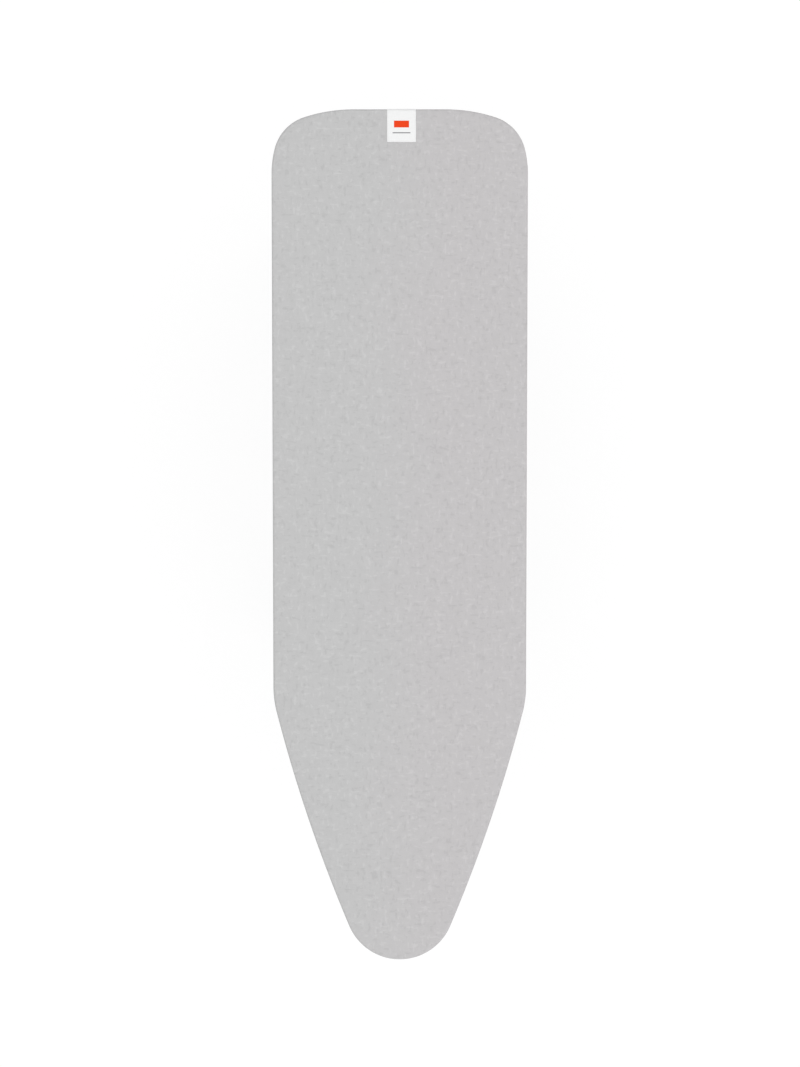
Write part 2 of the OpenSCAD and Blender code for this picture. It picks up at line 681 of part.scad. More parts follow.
// ---- Slider: an axle carried by two shoes in the rails, and the pull rod on its middle. ----
cheek_r = 9;
eye_r = 9;
lean_shift = eye_r * tan(lean) + inner_d / 2 / cos(lean);
cheek_x = top_x + lean_shift + side_play;
shoe_play = 0.3;
cheek_end = rail_x - rail_flange - shoe_play;
shoe_end = rail_x - rail_t - shoe_play;
cap_t = 3;
cap_r = 7;
eye_half = top_x - lean_shift - side_play;
boss_w = 14;
boss_l = 22;
rod_start = 8;
collar_r = 7;
collar_l = 8;
collar_gap = 3;
rod_tail = 2;
collar_at = clutch_y + housing_y - folded_y + collar_gap;
rod_end = collar_at + collar_l + rod_tail;
module slider() { translate([0, slider_y, z_pivot]) children(); }
module slider_axle() { color(zinc_colour) slider() along_x(2 * (cheek_end + cap_t), bolt_r); }
module axle_caps() {
    color(zinc_colour) slider() for (side = sides)
        translate([side * (cheek_end + cap_t / 2), 0, 0]) difference() {
            along_x(cap_t, cap_r);
            along_x(cap_t + 2 * over, bolt_r);
        }
}
module slide_shoes() {
    high = pivot_drop - brace_h - rail_t - shoe_play;
    low = high - (rail_h - 2 * (rail_t + shoe_play));
    color(nylon_colour) slider() for (side = sides) flip_x(side) difference() {
        union() {
            translate([cheek_x, -block_l / 2, low]) cube([shoe_end - cheek_x, block_l, high - low]);
            translate([(cheek_x + cheek_end) / 2, 0, 0]) along_x(cheek_end - cheek_x, cheek_r);
            translate([cheek_x, -cheek_r, 0]) cube([cheek_end - cheek_x, 2 * cheek_r, low + over]);
        }
        translate([cheek_x, 0, 0]) along_x(2 * rail_flange, bolt_r);
    }
}
module rod_eye() {
    color(nylon_colour) slider() difference() {
        union() {
            along_x(2 * eye_half, eye_r);
            translate([-boss_w / 2, 0, -boss_w / 2]) cube([boss_w, boss_l, boss_w]);
        }
        along_x(2 * (eye_half + over), bolt_r);
        translate([0, rod_start, 0]) along_y(boss_l, rod_r);
    }
}
module pull_rod() {
    color(zinc_colour) slider() translate([0, rod_start, 0]) along_y(rod_end - rod_start, rod_r);
}
module rod_collar() {
    color(plastic_colour) slider() translate([0, collar_at, 0]) difference() {
        along_y(collar_l, collar_r);
        translate([0, -over, 0]) along_y(collar_l + 2 * over, rod_r);
    }
}

cover();
hem_elastic();
label();
foam_pad();
felt_underlay();
top_plate();
rim_channel();
for (k = [0:len(brace_names) - 1]) brace(k);
frame_rivets();
rail(-1);  // rail_left
rail(1);  // rail_right
rail_stops();
hinge_bracket(-1);  // hinge_bracket_left
hinge_bracket(1);  // hinge_bracket_right
hinge_bolts();
hinge_nuts();
clutch_housing();
clutch_spring();
lever_pin();
latch_screw();
outer_tube(-1);  // outer_tube_left
outer_tube(1);  // outer_tube_right
outer_foot_bar();
outer_feet();
outer_tube_plugs();
crossing_bolts();
crossing_spacers();
crossing_nuts();
inner_upper_tube(-1);  // inner_upper_tube_left
inner_upper_tube(1);  // inner_upper_tube_right
inner_lower_tube(-1);  // inner_lower_tube_left
inner_lower_tube(1);  // inner_lower_tube_right
inner_foot_bar();
inner_feet();
inner_tube_plugs();
stretcher_tube();
slider_axle();
axle_caps();
slide_shoes();
rod_eye();
pull_rod();
rod_collar();
clutch_lever();
lever_grip();
transport_latch();
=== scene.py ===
"""Dressed model of a folding ironing board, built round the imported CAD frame.

Everything is in metres in the frame of the CAD: +Y points to the square end of the board, +X across it and
+Z up, and the feet stand on z = 0. Pieces ride on the CAD bodies, so that they follow every joint.
"""

import json
import logging
import math
from collections.abc import Callable, Iterable, Sequence
from dataclasses import dataclass, field
from enum import Enum
from typing import ClassVar

import bmesh
import bpy
import numpy as np
from bpy.types import Material, Node, NodeOutputs, NodeSocket, NodeTree, Object
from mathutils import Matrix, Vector


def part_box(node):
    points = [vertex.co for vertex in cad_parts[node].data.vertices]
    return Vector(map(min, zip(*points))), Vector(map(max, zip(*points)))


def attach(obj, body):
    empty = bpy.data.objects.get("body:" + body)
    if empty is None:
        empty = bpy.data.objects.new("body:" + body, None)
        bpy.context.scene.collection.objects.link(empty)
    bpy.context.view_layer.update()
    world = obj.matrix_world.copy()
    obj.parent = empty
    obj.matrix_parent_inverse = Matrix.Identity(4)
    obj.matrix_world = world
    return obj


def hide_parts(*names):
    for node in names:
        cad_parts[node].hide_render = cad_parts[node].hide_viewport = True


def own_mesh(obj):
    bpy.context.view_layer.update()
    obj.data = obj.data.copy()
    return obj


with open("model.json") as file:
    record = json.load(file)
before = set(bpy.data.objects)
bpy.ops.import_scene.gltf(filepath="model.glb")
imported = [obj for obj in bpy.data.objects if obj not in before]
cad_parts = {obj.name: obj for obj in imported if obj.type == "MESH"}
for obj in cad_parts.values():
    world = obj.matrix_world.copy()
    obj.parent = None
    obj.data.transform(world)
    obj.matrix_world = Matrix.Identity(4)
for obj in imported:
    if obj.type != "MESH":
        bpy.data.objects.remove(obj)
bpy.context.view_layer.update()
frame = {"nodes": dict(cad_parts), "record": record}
LOG = logging.getLogger("ironing_board")
MM = 0.001
TURN = 2 * math.pi
TOUCHING = 0.01 * MM

Colour = tuple[float, float, float]
Socket = NodeSocket


class Body(Enum):
    """Bodies of the CAD frame that a piece may ride on."""

    TOP = "top"
    OUTER = "outer_leg"
    INNER = "inner_leg"
    SLIDER = "slider"
    LEVER = "lever"
    LATCH = "transport_latch"


class Axis(Enum):
    """Directions that a turned piece may be built along."""

    X = 0
    Y = 1
    Z = 2


RECORD = frame["record"]
SLOT_OF = {part["node"]: part["material_slot"] for part in RECORD["subparts"]}
BODY_OF = {node: Body(body) for body, nodes in RECORD["behaviour"]["bodies"].items() for node in nodes}


def joint_place(name: str) -> Vector:
    """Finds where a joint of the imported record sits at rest.

    Args:
        name: The joint's name.

    Returns:
        Its place in the frame.
    """
    joints = RECORD["behaviour"]["joints"]
    return Vector(next(joint["pos_m"] for joint in joints if joint["name"] == name))


# ---------------- shader helpers


class Sheet:
    """Lays nodes on a shader tree, one call for a node with its values and links."""

    def __init__(self, tree: NodeTree) -> None:
        """Keeps the tree that the nodes go on."""
        self.tree = tree

    def put(self, kind: str, inputs: dict | None = None, out: int | str = 0, **settings: object) -> Socket:
        """Adds one node.

        Args:
            kind: Node type without its ShaderNode prefix.
            inputs: Socket name or index to a value, or to a socket to link from.
            out: The output that is handed back.
            **settings: Properties of the node.

        Returns:
            The chosen output socket.
        """
        node = self.tree.nodes.new("ShaderNode" + kind)
        for name, value in settings.items():
            setattr(node, name, value)
        for key, value in (inputs or {}).items():
            if isinstance(value, Socket):
                self.tree.links.new(value, node.inputs[key])
            else:
                node.inputs[key].default_value = value
        return node.outputs[out]

    def math(self, operation: str, *values: object) -> Socket:
        """Adds a Math node whose inputs are the values in order."""
        return self.put("Math", dict(enumerate(values)), operation=operation)

    def vector(self, operation: str, *values: object) -> Socket:
        """Adds a Vector Math node whose inputs are the values in order."""
        return self.put("VectorMath", dict(enumerate(values)), operation=operation)

    def scaled(self, vector: object, by: object) -> Socket:
        """Multiplies a vector by one number."""
        return self.put("VectorMath", {0: vector, "Scale": by}, operation="SCALE")

    def parts(self, vector: object) -> NodeOutputs:
        """Splits a vector into X, Y and Z."""
        return self.put("SeparateXYZ", {0: vector}).node.outputs

    def blend(self, amount: object, low: object, high: object) -> Socket:
        """Mixes two colours by an amount from 0 to 1."""
        inputs = {0: amount, 6: low, 7: high}
        return self.put("Mix", inputs, 2, data_type="RGBA", clamp_factor=True)

    def span(self, value: object, low: float, high: float, to_low: float = 0.0,
             to_high: float = 1.0) -> Socket:
        """Maps a range of values to another one, with a smooth clamp at its ends."""
        inputs = {0: value, 1: low, 2: high, 3: to_low, 4: to_high}
        return self.put("MapRange", inputs, interpolation_type="SMOOTHSTEP")

    def place(self) -> Socket:
        """Gives the place on the piece in metres."""
        return self.put("TexCoord", out="Object")

    def noise(self, place: object, size: object, detail: float = 2.0, rough: float = 0.5) -> Socket:
        """Adds noise whose lumps are about size metres across.

        Args:
            place: Socket with the place in metres.
            size: Size of a lump in metres, a number or a socket.
            detail: Number of finer layers.
            rough: Weight of the finer layers.

        Returns:
            The noise from 0 to 1.
        """
        scale = self.math("DIVIDE", 1.0, size) if isinstance(size, Socket) else 1.0 / size
        return self.put("TexNoise", {"Vector": place, "Scale": scale, "Detail": detail, "Roughness": rough})

    def streaks(self, place: object, stretch: Sequence[float], size: object, detail: float = 1.0) -> Socket:
        """Adds noise whose lumps are longer along each axis that has a factor below 1."""
        return self.noise(self.vector("MULTIPLY", place, stretch), size, detail)

    def both_ways(self, place: object, stretch: float, size: object) -> list[Socket]:
        """Adds streaks along X and streaks along Y."""
        return [self.streaks(place, way, size) for way in ((stretch, 1.0, 1.0), (1.0, stretch, 1.0))]


class Effect:
    """A shader node group that several materials share, made on first use."""

    name = "effect"
    inputs: tuple[tuple[str, str, object], ...] = ()
    outputs: tuple[str, ...] = ()

    @classmethod
    def tree(cls) -> NodeTree:
        """Makes the group, or hands back the one already made.

        Returns:
            The node group.
        """
        made = bpy.data.node_groups.get(cls.name)
        if made:
            return made
        tree = bpy.data.node_groups.new(cls.name, "ShaderNodeTree")
        for label, kind, value in cls.inputs:
            socket = tree.interface.new_socket(label, in_out="INPUT", socket_type="NodeSocket" + kind)
            if value is not None:
                socket.default_value = value
        for label in cls.outputs:
            tree.interface.new_socket(label, in_out="OUTPUT", socket_type="NodeSocketFloat")
        start, end = tree.nodes.new("NodeGroupInput"), tree.nodes.new("NodeGroupOutput")
        for socket, value in zip(end.inputs, cls.draw(Sheet(tree), start.outputs)):
            tree.links.new(value, socket)
        return tree

    @classmethod
    def draw(cls, sheet: Sheet, given: NodeOutputs) -> tuple[Socket, ...]:
        """Draws the inside of the group and hands back one socket for each output."""
        raise NotImplementedError

    @classmethod
    def on(cls, sheet: Sheet, **values: object) -> Node:
        """Places the group in a material.

        Args:
            sheet: The material's sheet.
            **values: Input name in lower case to a value or a socket.

        Returns:
            The group's node.
        """
        node = sheet.tree.nodes.new("ShaderNodeGroup")
        node.node_tree = cls.tree()
        for name, value in values.items():
            socket = node.inputs[name.replace("_", " ").capitalize()]
            if isinstance(value, Socket):
                sheet.tree.links.new(value, socket)
            else:
                socket.default_value = value
        return node


class Weave(Effect):
    """Plain weave of round threads with uneven places, on any side of a piece."""

    name = "plain_weave"
    inputs = (("Place", "Vector", None), ("Pitch", "Float", 0.6 * MM), ("Unevenness", "Float", 0.3))
    outputs = ("Height", "Slub")
    drifts_to_metre = 160.0
    side_to_top = (0.35, 0.75)
    slub_size = 1.1 * MM
    slub_stretch = 0.16

    @classmethod
    def draw(cls, sheet: Sheet, given: NodeOutputs) -> tuple[Socket, ...]:
        """Draws threads over and under each other in two directions."""
        place, pitch, uneven = given["Place"], given["Pitch"], given["Unevenness"]
        drift = sheet.put("TexNoise", {"Vector": place, "Scale": cls.drifts_to_metre, "Detail": 1.0}, 1)
        drift = sheet.vector("SUBTRACT", drift, (0.5, 0.5, 0.5))
        drift = sheet.scaled(drift, sheet.math("MULTIPLY", uneven, pitch))
        moved = sheet.vector("ADD", place, drift)
        parts = sheet.parts(sheet.scaled(moved, sheet.math("DIVIDE", TURN / 2, pitch)))
        wave = [sheet.math("SINE", part) for part in parts]
        side = sheet.math("SINE", sheet.math("ADD", parts[0], parts[1]))
        flat = sheet.math("MULTIPLY", wave[0], wave[1])
        wall = sheet.math("MULTIPLY", side, wave[2])
        up = sheet.math("ABSOLUTE", sheet.parts(sheet.put("TexCoord", out="Normal"))[2])
        on_top = sheet.span(up, *cls.side_to_top)
        height = sheet.put("Mix", {0: on_top, 2: wall, 3: flat}, data_type="FLOAT")
        slub = sheet.math("ADD", *sheet.both_ways(place, cls.slub_stretch, cls.slub_size))
        slub = sheet.math("MULTIPLY", slub, 0.5)
        return sheet.math("MULTIPLY_ADD", height, 0.5, 0.5), slub


class Flecks(Effect):
    """Sparse short flecks, lighter and darker than the ground, with a soft mottle below them."""

    name = "flecks"
    inputs = (("Place", "Vector", None), ("Size", "Float", 3 * MM), ("Mottle", "Float", 0.3))
    outputs = ("Tone",)
    stretch = 0.45
    peaks = (0.60, 0.74)
    pits = (0.40, 0.26)
    strength = 0.35
    mottle_size = 11 * MM

    @classmethod
    def draw(cls, sheet: Sheet, given: NodeOutputs) -> tuple[Socket, ...]:
        """Draws flecks along both thread directions, as a tone about 0.5."""
        place = given["Place"]
        along, across = sheet.both_ways(place, cls.stretch, given["Size"])
        across = sheet.math("SUBTRACT", 1.0, across)
        light = sheet.math("MAXIMUM", sheet.span(along, *cls.peaks), sheet.span(across, *cls.peaks))
        dark = sheet.math("MAXIMUM", sheet.span(along, *cls.pits), sheet.span(across, *cls.pits))
        flecks = sheet.math("MULTIPLY", sheet.math("SUBTRACT", light, dark), cls.strength)
        mottle = sheet.math("SUBTRACT", sheet.noise(place, cls.mottle_size, detail=3.0, rough=0.6), 0.5)
        tone = sheet.math("MULTIPLY_ADD", mottle, given["Mottle"], flecks)
        return (sheet.math("ADD", tone, 0.5),)


class Grain(Effect):
    """Fine grain of a moulded or powder-coated skin."""

    name = "fine_grain"
    inputs = (("Place", "Vector", None), ("Size", "Float", 0.8 * MM))
    outputs = ("Height", "Speckle", "Cloud")
    roundness = 0.8
    speck_scale = 1.6
    specks = (0.66, 0.80)
    cloud_size = 50 * MM

    @classmethod
    def draw(cls, sheet: Sheet, given: NodeOutputs) -> tuple[Socket, ...]:
        """Draws rounded grains, sparse specks and a broad cloud."""
        place, size = given["Place"], given["Size"]
        inputs = {"Vector": place, "Scale": sheet.math("DIVIDE", 1.0, size), "Smoothness": cls.roundness}
        cells = sheet.put("TexVoronoi", inputs, feature="SMOOTH_F1")
        height = sheet.math("ADD", cells, sheet.noise(place, size, 2.0))
        speckle = sheet.noise(place, sheet.math("MULTIPLY", size, cls.speck_scale), 0.0)
        return height, sheet.span(speckle, *cls.specks), sheet.noise(place, cls.cloud_size, 3.0)


class Scuffs(Effect):
    """Short scratches and rubbed patches from use."""

    name = "scuffs"
    inputs = (("Place", "Vector", None), ("Size", "Float", 20 * MM), ("Cover", "Float", 0.3))
    outputs = ("Rub", "Scratch")
    rub_above = 0.72
    rub_more = 0.25
    rub_blur = 0.08
    scratch_size = 0.45 * MM
    scratch_ways = ((1.0, 0.05, 0.35), (0.35, 1.0, 0.05))
    scratch_peaks = (0.74, 0.84)
    region_size = 30 * MM
    regions = (0.52, 0.66)

    @classmethod
    def draw(cls, sheet: Sheet, given: NodeOutputs) -> tuple[Socket, ...]:
        """Draws patches by noise, and short straight scratches from the peaks of stretched noise."""
        place = given["Place"]
        patch = sheet.noise(place, given["Size"], detail=5.0, rough=0.65)
        edge = sheet.math("SUBTRACT", cls.rub_above, sheet.math("MULTIPLY", given["Cover"], cls.rub_more))
        rub = sheet.put("MapRange", {0: patch, 1: edge, 2: sheet.math("ADD", edge, cls.rub_blur)})
        scratches = [sheet.span(sheet.streaks(place, way, cls.scratch_size), *cls.scratch_peaks)
                     for way in cls.scratch_ways]
        region = sheet.span(sheet.noise(place, cls.region_size, 1.0), *cls.regions)
        return rub, sheet.math("MULTIPLY", sheet.math("MAXIMUM", *scratches), region)


# ---------------- finishes


def rgba(colour: Colour) -> tuple[float, float, float, float]:
    """Adds full opacity to a linear colour."""
    return (*colour, 1.0)


def shade(colour: Colour, by: float) -> tuple[float, float, float, float]:
    """Makes a linear colour lighter or darker by a factor."""
    return rgba(tuple(min(1.0, part * by) for part in colour))


@dataclass(frozen=True)
class Finish:
    """What every finish has: a name, a colour and a roughness."""

    name: str
    colour: Colour
    roughness: float

    def material(self) -> Material:
        """Makes the material, or hands back the one already made.

        Returns:
            The material with its node tree.
        """
        made = bpy.data.materials.get(self.name)
        if made:
            return made
        material = bpy.data.materials.new(self.name)
        material.use_nodes = True
        tree = material.node_tree
        shader = tree.nodes["Principled BSDF"]
        self.fix(shader, {"Roughness": self.roughness})
        material.diffuse_color = rgba(self.colour)
        self.dress(Sheet(tree), shader)
        return material

    def dress(self, sheet: Sheet, shader: Node) -> None:
        """Draws the finish on the material's tree."""
        raise NotImplementedError

    @staticmethod
    def link(sheet: Sheet, shader: Node, **sockets: Socket) -> None:
        """Links sockets to the shader's inputs, named in lower case."""
        for name, socket in sockets.items():
            label = " ".join(word.capitalize() for word in name.split("_"))
            sheet.tree.links.new(socket, shader.inputs[label])

    @staticmethod
    def fix(shader: Node, values: dict[str, float]) -> None:
        """Sets plain values of the shader by their input's name."""
        for name, value in values.items():
            shader.inputs[name].default_value = value

    @staticmethod
    def bump(sheet: Sheet, height: Socket, depth: float, strength: float = 1.0) -> Socket:
        """Turns a height from 0 to 1 into a normal, for relief depth metres deep."""
        return sheet.put("Bump", {"Height": height, "Distance": depth, "Strength": strength})


@dataclass(frozen=True)
class CoverCloth(Finish):
    """Metallised cotton of the cover, matt silver-grey with flecks in its threads."""

    left: Colour = (0.5585, 0.558, 0.559)
    right: Colour = (0.5665, 0.552, 0.558)
    blend: float = 90 * MM
    drift: float = 160 * MM
    drift_size: float = 200 * MM
    pitch: float = 0.55 * MM
    fleck: float = 4.6 * MM
    contrast: float = 0.215
    slub: float = 0.10
    # share of painted shade and light that follows the weave's height
    thread: float = 0.08
    relief: float = 0.07 * MM

    def dress(self, sheet: Sheet, shader: Node) -> None:
        """Draws weave, flecks, a slow change of tint across the board, and painted shade and light that
        follow the weave's relief.
        """
        place = sheet.place()
        weave = Weave.on(sheet, place=place, pitch=self.pitch, unevenness=0.5)
        flecks = Flecks.on(sheet, place=place, size=self.fleck, mottle=0.5)
        drift = sheet.math("MULTIPLY_ADD", sheet.noise(place, self.drift_size), self.drift, -self.drift / 2)
        across = sheet.math("ADD", sheet.parts(place)[0], drift)
        tint = sheet.blend(sheet.span(across, -self.blend, self.blend), rgba(self.left), rgba(self.right))
        tone = sheet.math("SUBTRACT", flecks.outputs["Tone"], 0.5)
        tone = sheet.math("MULTIPLY_ADD", tone, self.contrast, 1.0)
        slub = sheet.math("MULTIPLY_ADD", sheet.math("SUBTRACT", weave.outputs["Slub"], 0.5), self.slub, tone)
        # painted shade and light: the colour follows the weave's height, darker in the gaps between threads
        # and lighter on their crests
        thread = sheet.math("MULTIPLY_ADD", weave.outputs["Height"], self.thread, -self.thread / 2)
        colour = sheet.scaled(tint, sheet.math("ADD", slub, thread))
        rough = sheet.span(weave.outputs["Slub"], 0.3, 0.7, self.roughness - 0.06, self.roughness + 0.08)
        relief = sheet.math("MULTIPLY_ADD", weave.outputs["Slub"], 0.8, weave.outputs["Height"])
        normal = self.bump(sheet, relief, self.relief, strength=0.6)
        self.link(sheet, shader, base_color=colour, roughness=rough, normal=normal)
        self.fix(shader, {"Specular IOR Level": 0.35, "Sheen Weight": 0.06, "Sheen Roughness": 0.5})


@dataclass(frozen=True)
class WovenLabel(Finish):
    """White damask-woven label with one orange stripe and one thin grey line."""

    orange: Colour = (0.93, 0.058, 0.006)
    grey: Colour = (0.24, 0.24, 0.25)
    middle: float = 0.0
    stripe: tuple[float, float] = (0.0, 0.0)
    line: tuple[float, float] = (0.0, 0.0)
    stripe_half: float = 11.0 * MM
    line_half: float = 13.0 * MM
    pitch: float = 0.32 * MM
    row_blur: float = 0.15 * MM
    end_blur: float = 0.20 * MM
    relief: float = 0.06 * MM

    def band(self, sheet: Sheet, parts: Sequence, rows: tuple[float, float], half: float) -> Socket:
        """Masks a bar that lies across the label, with the steps of single threads at its rim.

        Args:
            sheet: The material's sheet.
            parts: Sockets with the place along X and Y.
            rows: First and last Y of the bar.
            half: Half its length along X.

        Returns:
            The mask from 0 to 1.
        """
        middle, reach = (rows[0] + rows[1]) / 2, (rows[1] - rows[0]) / 2
        off = sheet.math("ABSOLUTE", sheet.math("SUBTRACT", parts[1], middle))
        side = sheet.math("ABSOLUTE", sheet.math("SUBTRACT", parts[0], self.middle))
        in_rows = sheet.span(off, reach + self.row_blur, reach - self.row_blur)
        return sheet.math("MULTIPLY", in_rows, sheet.span(side, half + self.end_blur, half - self.end_blur))

    def dress(self, sheet: Sheet, shader: Node) -> None:
        """Draws a ribbed ground and the two woven bars."""
        place = sheet.place()
        weave = Weave.on(sheet, place=place, pitch=self.pitch, unevenness=0.25)
        parts = sheet.parts(place)
        ground = sheet.blend(weave.outputs["Slub"], shade(self.colour, 0.93), shade(self.colour, 1.05))
        with_line = sheet.blend(self.band(sheet, parts, self.line, self.line_half), ground, rgba(self.grey))
        bar = sheet.blend(weave.outputs["Slub"], shade(self.orange, 0.85), shade(self.orange, 1.12))
        colour = sheet.blend(self.band(sheet, parts, self.stripe, self.stripe_half), with_line, bar)
        rib = sheet.math("SINE", sheet.math("MULTIPLY", parts[1], TURN / (2 * self.pitch)))
        relief = sheet.math("MULTIPLY_ADD", rib, 0.4, weave.outputs["Height"])
        normal = self.bump(sheet, relief, self.relief, strength=0.7)
        self.link(sheet, shader, base_color=colour, normal=normal)
        self.fix(shader, {"Specular IOR Level": 0.3, "Sheen Weight": 0.03})


@dataclass(frozen=True)
class Fibre(Finish):
    """Felt, elastic tape or sewing thread: short fibres with mixed shades."""

    size: float = 0.6 * MM
    contrast: float = 0.25
    depth: float = 0.15 * MM
    tangle: float = 2.5
    fleck_scale: float = 3.0

    def dress(self, sheet: Sheet, shader: Node) -> None:
        """Draws tangled fibres of lighter and darker shades."""
        place = sheet.place()
        weave = Weave.on(sheet, place=place, pitch=self.size, unevenness=self.tangle)
        flecks = Flecks.on(sheet, place=place, size=self.size * self.fleck_scale, mottle=0.5)
        low, high = shade(self.colour, 1 - self.contrast), shade(self.colour, 1 + self.contrast)
        colour = sheet.blend(flecks.outputs["Tone"], low, high)
        relief = sheet.math("ADD", weave.outputs["Slub"], sheet.noise(place, self.size, 3.0))
        self.link(sheet, shader, base_color=colour, normal=self.bump(sheet, relief, self.depth))
        self.fix(shader, {"Sheen Weight": 0.2})


@dataclass(frozen=True)
class Foam(Finish):
    """Open-cell foam with round pores."""

    pore: float = 0.9 * MM
    depth: float = 0.4 * MM
    walls: tuple[float, float] = (0.1, 0.55)

    def dress(self, sheet: Sheet, shader: Node) -> None:
        """Draws pores that are deeper than the walls between them, with painted shade that makes them darker
        than the walls.
        """
        place = sheet.place()
        pores = sheet.put("TexVoronoi", {"Vector": place, "Scale": 1 / self.pore}, feature="SMOOTH_F1")
        wall = sheet.span(pores, *self.walls)
        # painted shade in the pores: their colour is darkened towards their middles, by the same mask as
        # their relief
        colour = sheet.blend(wall, shade(self.colour, 0.72), rgba(self.colour))
        self.link(sheet, shader, base_color=colour, normal=self.bump(sheet, wall, self.depth))


@dataclass(frozen=True)
class PowderCoat(Finish):
    """Powder-coated steel: a faint orange peel, with scratches down to a darker coat."""

    worn: Colour = (0.47, 0.48, 0.50)
    cover: float = 0.25
    peel: float = 1.3 * MM
    peel_depth: float = 0.05 * MM
    patch: float = 26 * MM
    rubbed: float = 0.35
    scratched: float = 0.55
    dulled: float = 0.14

    def dress(self, sheet: Sheet, shader: Node) -> None:
        """Draws orange peel, a slow change of shade, and scuffs."""
        place = sheet.place()
        grain = Grain.on(sheet, place=place, size=self.peel)
        scuffs = Scuffs.on(sheet, place=place, size=self.patch, cover=self.cover)
        colour = sheet.blend(grain.outputs["Cloud"], shade(self.colour, 0.96), shade(self.colour, 1.03))
        for name, strength in (("Rub", self.rubbed), ("Scratch", self.scratched)):
            mask = sheet.math("MULTIPLY", scuffs.outputs[name], strength)
            colour = sheet.blend(mask, colour, rgba(self.worn))
        rough = sheet.span(scuffs.outputs["Rub"], 0.0, 1.0, self.roughness, self.roughness + self.dulled)
        normal = self.bump(sheet, grain.outputs["Height"], self.peel_depth, strength=0.35)
        self.link(sheet, shader, base_color=colour, roughness=rough, normal=normal)
        self.fix(shader, {"Coat Weight": 0.15, "Coat Roughness": 0.25})


@dataclass(frozen=True)
class Plated(Finish):
    """Zinc-plated or drawn steel with spangles, fine lines and dull patches."""

    spangle: float = 2.6 * MM
    stretch: tuple[float, float, float] = (1.0, 0.12, 1.0)
    line: float = 0.35 * MM
    line_depth: float = 0.02 * MM
    patch: float = 14 * MM

    def dress(self, sheet: Sheet, shader: Node) -> None:
        """Draws crystal spangles, fine lines of the drawn metal and dull patches."""
        place = sheet.place()
        cells = sheet.put("TexVoronoi", {"Vector": place, "Scale": 1 / self.spangle}, 1, feature="F1")
        cell = sheet.parts(cells)[0]
        lines = sheet.streaks(place, self.stretch, self.line, 2.0)
        scuffs = Scuffs.on(sheet, place=place, size=self.patch, cover=0.45)
        tone = sheet.math("MULTIPLY_ADD", lines, 0.5, sheet.math("MULTIPLY", cell, 0.5))
        bright = sheet.blend(tone, shade(self.colour, 0.9), shade(self.colour, 1.08))
        dull = sheet.math("MULTIPLY", scuffs.outputs["Rub"], 0.5)
        colour = sheet.blend(dull, bright, shade(self.colour, 0.72))
        rough = sheet.math("MULTIPLY_ADD", dull, 0.3, self.roughness - 0.06)
        rough = sheet.math("MULTIPLY_ADD", lines, 0.12, rough)
        normal = self.bump(sheet, lines, self.line_depth, strength=0.5)
        self.link(sheet, shader, base_color=colour, roughness=rough, normal=normal)
        self.fix(shader, {"Metallic": 1.0})


@dataclass(frozen=True)
class Moulded(Finish):
    """Injection-moulded plastic with an eroded grain."""

    grain: float = 0.45 * MM
    depth: float = 0.05 * MM
    worn: float = 1.5
    patch: float = 11 * MM
    rubbed: float = 0.3
    speckled: float = 0.15
    polished: float = 0.12

    def dress(self, sheet: Sheet, shader: Node) -> None:
        """Draws the grain, faint flow clouds, and rubbed places that are shinier and lighter."""
        place = sheet.place()
        grain = Grain.on(sheet, place=place, size=self.grain)
        scuffs = Scuffs.on(sheet, place=place, size=self.patch, cover=0.5)
        colour = sheet.blend(grain.outputs["Cloud"], shade(self.colour, 0.9), shade(self.colour, 1.1))
        for effect, name, strength in ((scuffs, "Rub", self.rubbed), (grain, "Speckle", self.speckled)):
            mask = sheet.math("MULTIPLY", effect.outputs[name], strength)
            colour = sheet.blend(mask, colour, shade(self.colour, self.worn))
        rough = sheet.span(scuffs.outputs["Rub"], 0.0, 1.0, self.roughness, self.roughness - self.polished)
        normal = self.bump(sheet, grain.outputs["Height"], self.depth, strength=0.6)
        self.link(sheet, shader, base_color=colour, roughness=rough, normal=normal)
        self.fix(shader, {"Specular IOR Level": 0.45})


POWDER = PowderCoat("silver_powder_coat", (0.345, 0.357, 0.380), 0.34)
PLATE_COAT = PowderCoat("plate_powder_coat", (0.507, 0.522, 0.538), 0.45, worn=(0.36, 0.37, 0.38), cover=0.15)
ZINC = Plated("bright_zinc", (0.66, 0.67, 0.69), 0.34)
LEVER_ZINC = Plated("lever_zinc", (0.69, 0.70, 0.71), 0.30, stretch=(0.12, 1.0, 1.0))
SPRING_WIRE = Plated("spring_wire", (0.52, 0.53, 0.54), 0.28, spangle=6 * MM)
DARK_PLASTIC = Moulded("dark_moulding", (0.040, 0.043, 0.048), 0.52, worn=1.8)
FOOT_PLASTIC = Moulded("foot_moulding", (0.033, 0.036, 0.041), 0.60, grain=0.7 * MM, depth=0.09 * MM,
                       worn=2.2)
NYLON = Moulded("natural_nylon", (0.77, 0.76, 0.72), 0.42, grain=0.9 * MM, depth=0.03 * MM, worn=0.9)
CLOTH = CoverCloth("silver_cotton", (0.556, 0.554, 0.554), 0.72)
FELT = Fibre("grey_felt", (0.34, 0.34, 0.355), 0.95, size=1.4 * MM, contrast=0.4, depth=0.4 * MM)
ELASTIC = Fibre("white_elastic", (0.83, 0.83, 0.81), 0.85, size=0.5 * MM, contrast=0.08)
THREAD = Fibre("grey_thread", (0.50, 0.50, 0.50), 0.8, size=0.25 * MM, contrast=0.15, depth=0.05 * MM)
LABEL_THREAD = Fibre("white_thread", (0.88, 0.88, 0.87), 0.8, size=0.25 * MM, contrast=0.08, depth=0.05 * MM)
FOAM = Foam("cream_foam", (0.78, 0.74, 0.60), 0.95)

